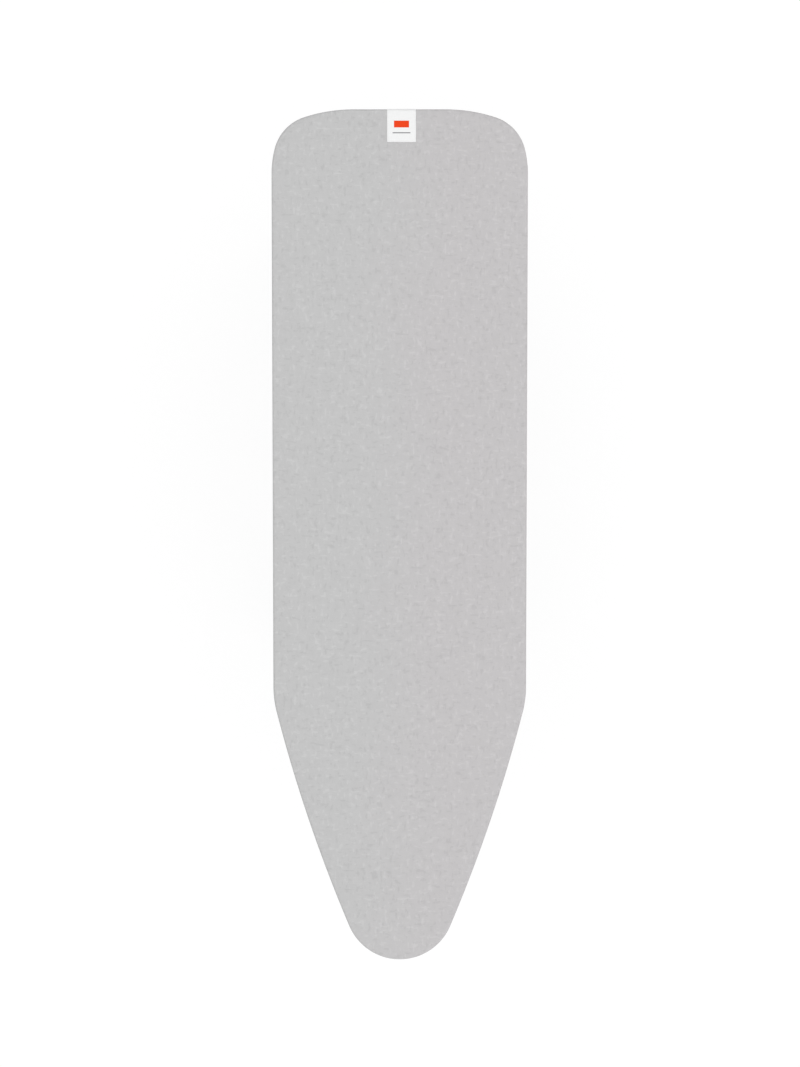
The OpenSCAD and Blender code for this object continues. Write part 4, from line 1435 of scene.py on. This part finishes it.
        rings = [np.concatenate([upper, lower[::-1]]) for upper, lower in zip(layer(True), layer(False))]
        stripe, line = ((inner + first * MM, inner + last * MM) for first, last in ((21, 31), (12.5, 14)))
        finish = WovenLabel("woven_label", (0.945, 0.95, 0.95), 0.85, middle=middle, stripe=stripe, line=line)
        return Shell().loft(rings).make("woven_label", Body.TOP, "label_weave", ("label",), finish, sharp=60)

    def build_label_stitches(self) -> Object:
        """Builds the stitches along three sides of the label."""
        low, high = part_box("label")
        middle, half = centre(low, high)[0], (high[0] - low[0]) / 2 - self.stitch_inset
        inner = low[1] + self.stitch_inset
        reach, pitch = self.outline.length / 2 - self.edge_round - inner, self.stitch_pitch
        starts = [(side * half, inner + i * pitch, 0.0, 1.0)
                  for side in (-1, 1) for i in range(int(reach / pitch))]
        starts += [(-half + (i + 0.2) * pitch, inner, 1.0, 0.0) for i in range(int(2 * half / pitch))]
        shell, step = Shell(), np.linspace(0, 1, 5)
        for x, y, along_x, along_y in starts:
            path = np.stack([middle + x + along_x * self.stitch * step, y + along_y * self.stitch * step,
                             self.high + 0.30 * MM + 0.24 * MM * np.sin(math.pi * step)], axis=1)
            shell.swept(path, 0.17 * MM, 6)
        return shell.make("label_seam", Body.TOP, "label_weave")

    def build_pad(self, node: str, name: str, rounding: float) -> Object:
        """Builds a pad below the cover, with soft edges.

        Args:
            node: The CAD node that it stands for.
            name: The piece's name.
            rounding: Radius of its upper edge.

        Returns:
            The new object.
        """
        low, high = (corner[2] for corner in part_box(node))
        loop, wrap, gap = self.outline.loop(self.pad_points), self.pad_wrap, self.pad_gap
        heights = [(wrap, low + gap)]
        for angle in np.radians(np.linspace(0, 90, 6)):
            inset = wrap + rounding * (1 - math.cos(angle))
            heights.append((inset, high - rounding + rounding * math.sin(angle) - gap))
        rings = [loop.inset(depth, height) for depth, height in heights]
        spine = rings[-1].copy()
        spine[:, 0] = 0
        spine[:, 1] = np.clip(loop.place[:, 1], self.spine_low, self.spine_high)
        inner = []
        for share in np.linspace(0, 1, 7)[1:]:
            ring = rings[-1] + (spine - rings[-1]) * share
            ring[:, 2] -= self.pad_wave * share * (0.5 + 0.5 * np.sin(60 * ring[:, 1] + 25 * ring[:, 0]))
            inner.append(ring)
        base = [ring * (1, 1, 0) + (0, 0, low + gap) for ring in inner[::-1]]
        shell = Shell().loft(base + rings + inner, caps=False)
        return shell.make(name, Body.TOP, SLOT_OF[node], (node,), merge=TOUCHING)

    def build(self) -> None:
        """Builds the whole padded top, and works out the areas of the laid-out cloth and of the felt."""
        cover = self.build_cover()
        going_with = [self.build_elastic(), self.build_hem_stitches(), self.build_label(),
                      self.build_label_stitches()]
        foam = self.build_pad("foam_pad", "soft_foam", 3.2 * MM)
        felt = self.build_pad("felt_underlay", "needled_felt", 0.8 * MM)
        self.flat_area()
        area = self.loop.area(self.felt_inset)


# ---------------- the steelwork


def bent_sheet(corners: Sequence[tuple[float, float]], thickness: float, bend: float) -> np.ndarray:
    """Draws the section of a bent steel sheet.

    Args:
        corners: Corners of the sheet's middle line.
        thickness: The sheet's thickness.
        bend: Radius of the middle line in a bend.

    Returns:
        The section as one side of the sheet followed by the other side, backwards.
    """
    path = [np.array(corner, float) for corner in corners]
    line = [path[0]]
    for before, at, after in zip(path, path[1:], path[2:]):
        one, two = (at - before) / np.linalg.norm(at - before), (after - at) / np.linalg.norm(after - at)
        angle = math.atan2(one[0] * two[1] - one[1] * two[0], one.dot(two))
        start = at - one * bend * math.tan(abs(angle) / 2)
        side = np.array([-one[1], one[0]]) * math.copysign(1, angle)
        for share in np.linspace(0, 1, 6):
            turn = abs(angle) * share
            line.append(start + one * bend * math.sin(turn) + side * bend * (1 - math.cos(turn)))
    line.append(path[-1])
    points = np.array(line)
    way = np.gradient(points, axis=0)
    way /= np.linalg.norm(way, axis=1)[:, None]
    across = np.stack([-way[:, 1], way[:, 0]], axis=1) * thickness / 2
    return np.concatenate([points + across, (points - across)[::-1]])


def extrude_sheet(section: np.ndarray, ends: tuple[float, float],
                  place: Callable[[np.ndarray, float], np.ndarray]) -> Shell:
    """Extrudes a bent sheet's section and closes both ends.

    Args:
        section: The section that bent_sheet drew.
        ends: Places of the two ends along the extrusion.
        place: Puts the section's points into the frame at an end.

    Returns:
        The shell.
    """
    size = len(section)
    shell = Shell().loft([place(section, end) for end in ends], caps=False)
    for i in range(size // 2 - 1):
        quad = (i, i + 1, size - 2 - i, size - 1 - i)
        shell.faces += [quad, tuple(size + k for k in quad[::-1])]
    return shell


@dataclass
class Steelwork:
    """Braces, rails, rivets and hinges that hang below the steel top."""

    brace_sheet: float = 1.2 * MM
    brace_flange: float = 11 * MM
    brace_bend: float = 2.2 * MM
    rail_sheet: float = 1.5 * MM
    rail_bend: float = 1.6 * MM
    rivet_shank: float = 2 * MM
    rivet_rise: float = 1.4 * MM
    rivet_bore: float = 1.3 * MM
    bolt: float = 4 * MM
    bolt_tip: float = 0.8 * MM
    head: float = 5 * MM
    nut: float = 6.5 * MM
    collar: float = 5.4 * MM
    collar_height: float = 1.5 * MM

    def build_brace(self, node: str) -> None:
        """Builds one hat-shaped brace of bent sheet."""
        low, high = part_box(node)
        middle, half, thick = centre(low, high)[1], (high[1] - low[1]) / 2, self.brace_sheet
        wall = half - self.brace_flange - thick / 2
        top, bottom = high[2] - thick / 2, low[2] + thick / 2
        corners = [(-half, top), (-wall, top), (-wall, bottom), (wall, bottom), (wall, top), (half, top)]
        section = bent_sheet(corners, thick, self.brace_bend)

        def place(points: np.ndarray, x: float) -> np.ndarray:
            """Stands the section across the board at x."""
            return np.stack([np.full(len(points), x), points[:, 0] + middle, points[:, 1]], axis=1)

        shell = extrude_sheet(section, (low[0], high[0]), place)
        shell.make(f"{node}_pressing", Body.TOP, "painted_frame", (node,))

    def build_rail(self, node: str) -> None:
        """Builds one slide rail, open towards the middle of the board."""
        low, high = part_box(node)
        side, inner, outer = reach_across(low, high)
        half = self.rail_sheet / 2
        web, top, bottom = outer - half, high[2] - half, low[2] + half
        corners = [(inner, top), (web, top), (web, bottom), (inner, bottom)]
        section = bent_sheet(corners, self.rail_sheet, self.rail_bend)

        def place(points: np.ndarray, y: float) -> np.ndarray:
            """Stands the section along the board at y."""
            return np.stack([side * points[:, 0], np.full(len(points), y), points[:, 1]], axis=1)

        shell = extrude_sheet(section, (low[1], high[1]), place)
        shell.make(f"{node}_profile", Body.TOP, "painted_frame", (node,))

    def build_rivets(self) -> None:
        """Builds the rivets with domed heads and pulled cores."""
        shell, rise, bore, shank = Shell(), self.rivet_rise, self.rivet_bore, self.rivet_shank
        for low, high in islands("frame_rivets"):
            x, y, _ = centre(low, high)
            radius = (high[0] - low[0]) / 2
            dome = [(rise * (1 - math.cos(a)) * 0.9, bore + (radius - bore) * math.sin(a))
                    for a in np.linspace(0.25, math.pi / 2, 7)]
            profile = [(0.45 * MM, bore - 0.25 * MM), (0.02 * MM, bore - 0.05 * MM), *dome, (rise, radius),
                       (rise, shank), (high[2] - low[2], shank)]
            shell.turned(profile, (x, y, low[2]), Axis.Z, 24)
        shell.make("domed_rivets", Body.TOP, "zinc_plate", ("frame_rivets",), sharp=50)

    def build_hinge_bolts(self) -> None:
        """Builds the hinge bolts with low round heads on the inside."""
        shell = Shell()
        head = [(0.55 * MM, 2.4 * MM), (0.0, 2.7 * MM), (0.05 * MM, 4.2 * MM), (0.5 * MM, 6.0 * MM),
                (1.3 * MM, 7.0 * MM), (2.0 * MM, 7.0 * MM), (2.0 * MM, self.bolt)]
        for low, high in islands("hinge_bolts"):
            side, start, end = reach_across(low, high)
            _, y, z = centre(low, high)
            tip = [(end - start - self.bolt_tip, self.bolt), (end - start, self.bolt - self.bolt_tip)]
            shell.turned(head + tip, (side * start, y, z), Axis.X, 40, side)
        shell.make("hinge_pins", Body.TOP, "zinc_plate", ("hinge_bolts",))

    def lock_nut(self, shell: Shell, low: Vector, high: Vector, outward: bool) -> None:
        """Adds a lock nut with a collar.

        Args:
            shell: Where the points go.
            low: Lowest corner of the CAD nut.
            high: Its highest corner.
            outward: Whether the collar faces away from the board's axis.
        """
        side, inner, outer = reach_across(low, high)
        _, y, z = centre(low, high)
        start, sign = (inner, side) if outward else (outer, -side)
        spot, end, wide = (side * start, y, z), self.nut, self.collar
        step = end - self.collar_height
        shell.turned(hex_profile(0.0, step, both=True), spot, Axis.X, 48, sign, hexagon)
        collar = [(step - 0.1 * MM, wide), (step, wide), (end - 0.4 * MM, wide - 0.1 * MM),
                  (end - 0.05 * MM, wide - 0.5 * MM), (end - 0.05 * MM, wide - 1.2 * MM)]
        shell.turned(collar, spot, Axis.X, 40, sign)

    def build_hinge_nuts(self) -> None:
        """Builds the nuts outside the hinge brackets."""
        shell = Shell()
        for low, high in islands("hinge_nuts"):
            self.lock_nut(shell, low, high, outward=True)
        shell.make("hinge_lock_nuts", Body.TOP, "zinc_plate", ("hinge_nuts",), sharp=30)

    def build(self) -> None:
        """Builds all the steelwork of the top."""
        for place in ("rear", "hinge", "middle", "clutch", "front", "nose"):
            self.build_brace(f"brace_{place}")
        for side in ("left", "right"):
            self.build_rail(f"rail_{side}")
            soften(f"hinge_bracket_{side}", 0.7 * MM)
        soften("rail_stops", 0.7 * MM)
        self.build_rivets()
        self.build_hinge_bolts()
        self.build_hinge_nuts()


# ---------------- the legs


@dataclass(frozen=True)
class LegPlane:
    """A leg frame drawn flat from its pivot and turned down about the X axis."""

    pivot: Vector
    angle: float

    def down(self, points: np.ndarray) -> np.ndarray:
        """Turns flat points down into their place at rest."""
        return turn_about(points, self.angle, Axis.X) + np.array(self.pivot)


@dataclass
class Legs:
    """The two crossed tube frames with their feet, plugs, welds and crossing bolts."""

    leg: float = 1.030
    upper: float = 0.455
    weld_gap: float = 0.030
    weld_radius: float = 2.4 * MM
    weld_ripple: float = 0.25 * MM
    weld_ripples: int = 30
    weld_points: int = 192
    weld_inset: float = 0.2 * MM
    slider_x: float = 0.027
    inner_radius: float = 11 * MM
    outer_radius: float = 12.5 * MM
    bar_radius: float = 12.5 * MM
    wall: float = 1.5 * MM
    bend: float = 0.160
    bend_points: int = 13
    before_bend: tuple[float, float] = (0.15, 0.01)
    after_bend: float = 0.05
    before_bar: float = 0.1
    tip: float = 12 * MM
    foot_radius: float = 16.5 * MM
    foot_height: float = 16 * MM
    foot_length: float = 28 * MM
    foot_round: float = 4.5 * MM
    foot_ribs: int = 5
    rib_pitch: float = 3.2 * MM
    rib_depth: float = 0.7 * MM
    stretcher_radius: float = 9.5 * MM
    stretcher_at: float = 0.705
    plug_rim: float = 0.7 * MM
    plug_dome: float = 1.5 * MM
    washer: float = 8.9 * MM
    hex_height: float = 3.9 * MM

    def __post_init__(self) -> None:
        """Reads the pivots and the angle of the legs from the joints."""
        hinge, crossing, slider = (joint_place(name) for name in ("leg_fold", "leg_cross", "slider_pivot"))
        angle = math.atan2(hinge[2] - crossing[2], hinge[1] - crossing[1])
        self.outer_plane = LegPlane(hinge, angle)
        self.inner_plane = LegPlane(slider, -angle)
        self.inner_x = centre(*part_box("inner_lower_tube_right"))[0]
        self.outer_x = centre(*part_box("outer_tube_right"))[0]
        self.weld_at = self.upper - self.weld_gap
        self.lean = math.atan2(self.inner_x - self.slider_x, self.weld_at)

    def inner_path(self) -> np.ndarray:
        """Draws the middle line of a bent inner leg, from its upper tip to the foot bar."""
        way = np.array([math.sin(self.lean), math.cos(self.lean)])
        corner = np.array([self.inner_x, self.weld_at])
        start = corner - way * self.bend * math.tan(self.lean / 2)
        left = np.array([-way[1], way[0]])
        points = [np.array([self.slider_x, 0.0]) - way * self.tip]
        points += [start - way * before for before in self.before_bend]
        for share in np.linspace(0, 1, self.bend_points):
            turn = self.lean * share
            points.append(start + way * self.bend * math.sin(turn) + left * self.bend * (1 - math.cos(turn)))
        low = (self.weld_at + self.after_bend, self.leg - self.before_bar, self.leg)
        points += [np.array([self.inner_x, y]) for y in low]
        return np.array([(x, y, 0.0) for x, y in points])

    def cope(self, ring: np.ndarray) -> np.ndarray:
        """Cuts the end ring of an inner leg to the round of the foot bar."""
        cut = ring.copy()
        cut[:, 1] = self.leg - np.sqrt(self.bar_radius ** 2 - ring[:, 2] ** 2) + 0.2 * MM
        return cut

    def build_inner_legs(self) -> None:
        """Builds the bent inner legs, each one hollow tube."""
        for side, name in ((-1, "left"), (1, "right")):
            outside = tube_rings(self.inner_path(), self.inner_radius, 40)
            inside = tube_rings(self.inner_path(), self.inner_radius - self.wall, 40)
            outside[-1], inside[-1] = self.cope(outside[-1]), self.cope(inside[-1])
            shell = Shell().loft(outside + inside[::-1], loop=True)
            shell.move(lambda points, side=side: points * (side, 1, 1)).move(self.inner_plane.down)
            nodes = [f"inner_{part}_tube_{name}" for part in ("upper", "lower")]
            shell.make(f"bent_leg_{name}", Body.INNER, "painted_frame", nodes)

    def bead(self, shell: Shell, across: float, radius: float, end: float, other: float,
             along: Axis = Axis.Y) -> None:
        """Adds a rippled weld bead along the line where a tube ends on another one.

        Args:
            shell: Where the points go.
            across: Place of the tube's middle line.
            radius: Its radius.
            end: Place of the other tube's middle line.
            other: Radius of the other tube.
            along: Direction of the tube that ends, X or Y.
        """
        angles = np.arange(self.weld_points) * TURN / self.weld_points
        high = radius * np.sin(angles)
        line = [across + radius * np.cos(angles), end - np.sign(end) * np.sqrt(other ** 2 - high ** 2)]
        path = np.stack([*(line if along is Axis.Y else line[::-1]), high], axis=1)
        bead = self.weld_radius + self.weld_ripple * np.sin(self.weld_ripples * angles)
        shell.swept(path, bead, 10, loop=True)

    def build_welds(self) -> None:
        """Builds the weld beads of both frames."""
        outer, inner = Shell(), Shell()
        for side in (-1, 1):
            sunk = self.outer_radius - self.weld_inset
            self.bead(outer, side * self.outer_x, sunk, -self.leg, self.bar_radius)
            self.bead(inner, side * self.inner_x, self.inner_radius, self.leg, self.bar_radius)
            self.bead(inner, self.stretcher_at, self.stretcher_radius, side * self.inner_x, self.inner_radius,
                      along=Axis.X)
        outer.move(self.outer_plane.down).make("outer_welds", Body.OUTER, "painted_frame")
        inner.move(self.inner_plane.down).make("inner_welds", Body.INNER, "painted_frame")

    def build_feet(self, node: str) -> None:
        """Builds the two ribbed feet of a frame, flat where they stand.

        Args:
            node: The CAD node of the feet.
        """
        low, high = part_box(node)
        radius, length, curl = self.foot_radius, self.foot_length, self.foot_round
        groove = radius - self.rib_depth
        profile = [(0.0, 12.7 * MM), (0.0, radius - 1.9 * MM), (0.5 * MM, radius - 1.1 * MM),
                   (1.4 * MM, groove)]
        for i in range(self.foot_ribs):
            base = 3.0 * MM + i * self.rib_pitch
            profile += [(base, groove), (base + 0.5 * MM, radius), (base + 2.0 * MM, radius),
                        (base + 2.5 * MM, groove)]
        profile += [(length - 8 * MM, groove), (length - 7.4 * MM, radius)]
        profile += [(length - curl + curl * math.sin(angle), radius - curl * (1 - math.cos(angle)))
                    for angle in np.linspace(0, math.pi / 2, 8)]
        sunk = ((0.0, 9.6), (0.25, 9.2), (0.9, 9.0), (0.9, 4.0), (0.6, 3.6), (0.6, 0.4))
        profile += [(length - depth * MM, ring * MM) for depth, ring in sunk]
        shell = Shell()
        for side in (-1, 1):
            spot = (side * (high[0] - length), centre(low, high)[1], self.foot_height)
            shell.turned(profile, spot, Axis.X, 96, side)
        shell.move(lambda points: np.maximum(points, (-np.inf, -np.inf, 0.0)))
        shell.make(f"{node}_moulding", BODY_OF[node], "foot_plastic", (node,), sharp=35)

    def build_plugs(self) -> None:
        """Builds the domed plugs in the upper ends of the tubes."""

        def profile(radius: float, length: float) -> list[tuple[float, float]]:
            """Draws a plug with its shank inside the tube and its dome outside."""
            bore, rim = radius - self.wall, radius - 0.35 * MM
            dome = [(self.plug_rim + self.plug_dome * math.sin(a), rim * math.cos(a) ** 0.6)
                    for a in np.linspace(0, 1.45, 8)]
            return [(-length, bore - 0.4 * MM), (-length + 0.5 * MM, bore), (0.0, bore), (0.0, rim), *dome]

        outer, inner = Shell(), Shell()
        for side in (-1, 1):
            outer.turned(profile(self.outer_radius, 6.5 * MM), (side * self.outer_x, self.tip, 0), Axis.Y, 36)
            piece = Shell().turned(profile(self.inner_radius, 4.4 * MM), (0, -self.tip, 0), Axis.Y, 36, -1)
            piece.move(lambda points, side=side: (turn_about(points, -self.lean, Axis.Z)
                                                  + (self.slider_x, 0, 0)) * (side, 1, 1))
            inner.add(np.concatenate(piece.points), piece.faces)
        for name, shell, plane, body in (("outer", outer, self.outer_plane, Body.OUTER),
                                         ("inner", inner, self.inner_plane, Body.INNER)):
            shell.move(plane.down).make(f"{name}_plugs", body, "dark_plastic", (f"{name}_tube_plugs",))

    def build_crossing(self, steel: Steelwork) -> None:
        """Builds the bolts and nuts where the frames cross.

        Args:
            steel: Gives the sizes of the fasteners.
        """
        bolts, nuts, rim = Shell(), Shell(), self.washer - 0.3 * MM
        washer = [(0.0, rim), (0.2 * MM, self.washer), (1.1 * MM, self.washer), (1.3 * MM, rim)]
        for low, high in islands("crossing_bolts"):
            side, start, end = reach_across(low, high)
            _, y, z = centre(low, high)
            bolts.turned(washer, (side * (end - steel.head), y, z), Axis.X, 48, side)
            head = hex_profile(end - self.hex_height, self.hex_height, both=False)
            bolts.turned(head, (0, y, z), Axis.X, 48, side, hexagon)
            shank = [(start, steel.bolt - steel.bolt_tip), (start + steel.bolt_tip, steel.bolt),
                     (end - 4.5 * MM, steel.bolt)]
            bolts.turned(shank, (0, y, z), Axis.X, 32, side)
        for low, high in islands("crossing_nuts"):
            steel.lock_nut(nuts, low, high, outward=False)
        bolts.make("crossing_pins", Body.OUTER, "zinc_plate", ("crossing_bolts",), sharp=30)
        nuts.make("crossing_lock_nuts", Body.OUTER, "zinc_plate", ("crossing_nuts",), sharp=30)
        soften("crossing_spacers", 0.5 * MM)

    def build(self, steel: Steelwork) -> None:
        """Builds both frames."""
        self.build_inner_legs()
        self.build_welds()
        self.build_feet("outer_feet")
        self.build_feet("inner_feet")
        self.build_plugs()
        self.build_crossing(steel)


# ---------------- slider, clutch and transport latch


@dataclass
class HeightClutch:
    """The slider on the inner frame, the clutch with its lever, grip and spring, and the transport latch."""

    lean: float = math.radians(8)
    grip_at: float = 0.193
    grip_half: float = 11 * MM
    grip_thick: float = 6 * MM
    grip_swell: float = 0.07
    end_wide: float = 3.2 * MM
    end_deep: float = 2.9 * MM
    squareness: float = 0.72
    finger_ribs: int = 7
    fingers: tuple[float, float] = (0.15, 0.85)
    finger_depth: float = 0.35 * MM
    rows: int = 41
    sides: int = 64
    wire: float = 0.7 * MM
    turns: int = 6
    turn_points: int = 28
    closed_rise: float = 0.22
    opening: float = 0.25
    kept: float = 0.866

    def build_slider(self) -> None:
        """Builds the shoes, eye, caps, collar, axle and rod."""
        soften("slide_shoes", 1.0 * MM)
        soften("rod_eye", 0.8 * MM)
        soften("rod_collar", 0.8 * MM)
        soften("axle_caps", 0.7 * MM)
        soften("pull_rod", 0.5 * MM)
        soften("slider_axle", 0.5 * MM)

    def build_grip(self) -> None:
        """Builds the grip with finger ribs on the end of the lever."""
        pin = joint_place("release")
        low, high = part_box("lever_grip")
        angles = np.arange(self.sides) * TURN / self.sides
        x, y = (np.sign(wave) * np.abs(wave) ** self.squareness for wave in (np.cos(angles), np.sin(angles)))
        rings, tall = [], high[2] - low[2]
        for share in np.linspace(0, 1, self.rows):
            end = min(share, 1 - share) * tall
            close = 1 - math.sqrt(max(0.0, 1 - (1 - min(1.0, end / self.end_wide)) ** 2))
            swell = 1 - self.grip_swell * (1 - math.sin(math.pi * share))
            ribbed = self.fingers[0] < share < self.fingers[1]
            rib = 0.5 + 0.5 * math.cos(share * self.finger_ribs * TURN) if ribbed else 0.0
            wide = (self.grip_half - self.end_wide * close) * swell
            deep = (self.grip_thick - self.end_deep * close) * swell - self.finger_depth * rib
            height = np.full(self.sides, low[2] + share * tall)
            rings.append(np.stack([self.grip_at + wide * x, deep * y, height], axis=1))
        place = np.array([pin[0], pin[1], 0.0])
        grip = Shell().loft(rings).move(lambda points: turn_about(points, -self.lean, Axis.Z) + place)
        grip.make("finger_grip", Body.LEVER, "dark_plastic", ("lever_grip",), sharp=60)

    def build_spring(self) -> None:
        """Builds the wire spring with closed end turns."""
        low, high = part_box("clutch_spring")
        radius = (high[0] - low[0]) / 2 - self.wire
        middle = (low + high) / 2
        share = np.linspace(0, 1, self.turns * self.turn_points + 1)
        inside = np.clip(np.minimum(share, 1 - share) * self.turns, 0.0, 1.0)
        opened = np.clip(inside - 1 + self.opening, 0, self.opening) / self.opening
        rise = np.cumsum(self.closed_rise + (1 - self.closed_rise) * opened)
        rise = (rise - rise[0]) / (rise[-1] - rise[0])
        angle = TURN * self.turns * share
        path = np.stack([middle[0] + radius * np.cos(angle),
                         low[1] + self.wire + rise * (high[1] - low[1] - 2 * self.wire),
                         middle[2] + radius * np.sin(angle)], axis=1)
        coil = Shell().swept(path, self.wire, 10)
        spring = coil.make("wire_spring", Body.TOP, "spring_steel", ("clutch_spring",))
        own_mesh(spring)

    def build(self) -> None:
        """Builds the slider, the clutch and the latch."""
        self.build_slider()
        soften("clutch_housing", 0.6 * MM)
        soften("lever_pin", 0.5 * MM)
        soften("clutch_lever", 0.7 * MM)
        self.build_grip()
        self.build_spring()
        soften("latch_screw", 0.5 * MM)
        soften("transport_latch", 1.1 * MM)


# ---------------- the studio


@dataclass(frozen=True)
class Sun:
    """A broad light: its strength, its width in degrees, and its turns about X and Y in degrees."""

    name: str
    strength: float
    width: float
    turn: tuple[float, float]


@dataclass(frozen=True)
class Studio:
    """Pale floor, plain soft light and a camera straight above the board."""

    suns: ClassVar[tuple[Sun, ...]] = (
        Sun("above", 0.88, 60, (0, 0)), Sun("nose", 0.36, 50, (50, 0)), Sun("side", 0.30, 50, (12, 48)))
    frame_height: float = 1.5553
    lens: float = 100.0
    sensor: float = 36.0
    shift: tuple[float, float] = (0.4 * MM, 1.2 * MM)
    world_light: float = 0.56
    floor_size: float = 40.0
    floor_gap: float = 0.3 * MM
    floor_light: float = 0.8
    shadow_light: float = 0.31
    floor_glow: float = 0.73

    @staticmethod
    def seen(sheet: Sheet) -> Socket:
        """Gives 1 for rays that show the background, and 0 for those that light the object."""
        names = ("Is Camera Ray", "Is Glossy Ray", "Is Transmission Ray")
        rays = [sheet.put("LightPath", out=name) for name in names]
        return sheet.math("MAXIMUM", sheet.math("MAXIMUM", rays[0], rays[1]), rays[2])

    def build_floor(self) -> None:
        """Builds the floor, which shows white and keeps a soft shadow."""
        material = bpy.data.materials.new("pale_floor")
        material.use_nodes = True
        tree = material.node_tree
        tree.nodes.remove(tree.nodes["Principled BSDF"])
        sheet = Sheet(tree)
        plain, soft = (sheet.put("BsdfDiffuse", {"Color": rgba((light,) * 3)})
                       for light in (self.floor_light, self.shadow_light))
        glow = sheet.put("Emission", {"Color": rgba((1.0, 1.0, 1.0)), "Strength": self.floor_glow})
        shown = sheet.put("AddShader", {0: soft, 1: glow})
        mixed = sheet.put("MixShader", {0: self.seen(sheet), 1: plain, 2: shown})
        tree.links.new(mixed, tree.nodes["Material Output"].inputs["Surface"])
        half = self.floor_size / 2
        corners = [(x * half, y * half, -self.floor_gap) for x, y in ((-1, -1), (1, -1), (1, 1), (-1, 1))]
        mesh = bpy.data.meshes.new("floor")
        mesh.from_pydata(corners, [], [(0, 1, 2, 3)])
        mesh.materials.append(material)
        floor = put_in_scene("floor", mesh)

    def build_world(self) -> None:
        """Lights the scene evenly from all round, before a white background."""
        world = bpy.data.worlds.new("studio")
        world.use_nodes = True
        sheet = Sheet(world.node_tree)
        background = world.node_tree.nodes["Background"]
        background.inputs["Color"].default_value = rgba((1.0, 1.0, 1.0))
        strength = sheet.put("MapRange", {0: self.seen(sheet), 3: self.world_light, 4: 1.0})
        world.node_tree.links.new(strength, background.inputs["Strength"])
        bpy.context.scene.world = world

    def build_suns(self) -> None:
        """Adds three broad lights: one above, one over the nose and one at the side."""
        for sun in self.suns:
            light = bpy.data.lights.new(f"{sun.name}_light", "SUN")
            light.energy, light.angle = sun.strength, math.radians(sun.width)
            lamp = put_in_scene(f"{sun.name}_light", light)
            lamp.rotation_euler = [math.radians(angle) for angle in (*sun.turn, 0)]

    def build_camera(self) -> None:
        """Hangs the camera over the middle of the board, the square end at the top of the view."""
        camera = bpy.data.cameras.new("camera")
        camera.lens, camera.sensor_width = self.lens, self.sensor
        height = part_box("cover")[1][2] + self.frame_height * self.lens / self.sensor
        stand = put_in_scene("camera", camera)
        stand.location = (*self.shift, height)
        bpy.context.scene.camera = stand

    def build(self) -> None:
        """Builds the whole studio."""
        bpy.context.scene.view_settings.view_transform = "Standard"
        self.build_floor()
        self.build_world()
        self.build_suns()
        self.build_camera()


def dress_nodes() -> None:
    """Gives every CAD node that still shows its finish, by its slot in the record."""
    for name, slot_name in SLOT_OF.items():
        node = frame["nodes"][name]
        if node.hide_render:
            continue
        if not node.material_slots:
            node.data.materials.append(None)
        for slot in node.material_slots:
            slot.link = "OBJECT"
            slot.material = FINISH_OF_SLOT[slot_name].material()
        LOG.info("%s keeps its CAD shape", node.name)


def main() -> None:
    """Builds the studio and every sub-assembly."""
    logging.basicConfig(level=logging.INFO, format="%(name)s: %(message)s")
    Studio().build()
    IroningTop().build()
    steel = Steelwork()
    steel.build()
    Legs().build(steel)
    HeightClutch().build()
    dress_nodes()


if __name__ == "__main__":
    main()
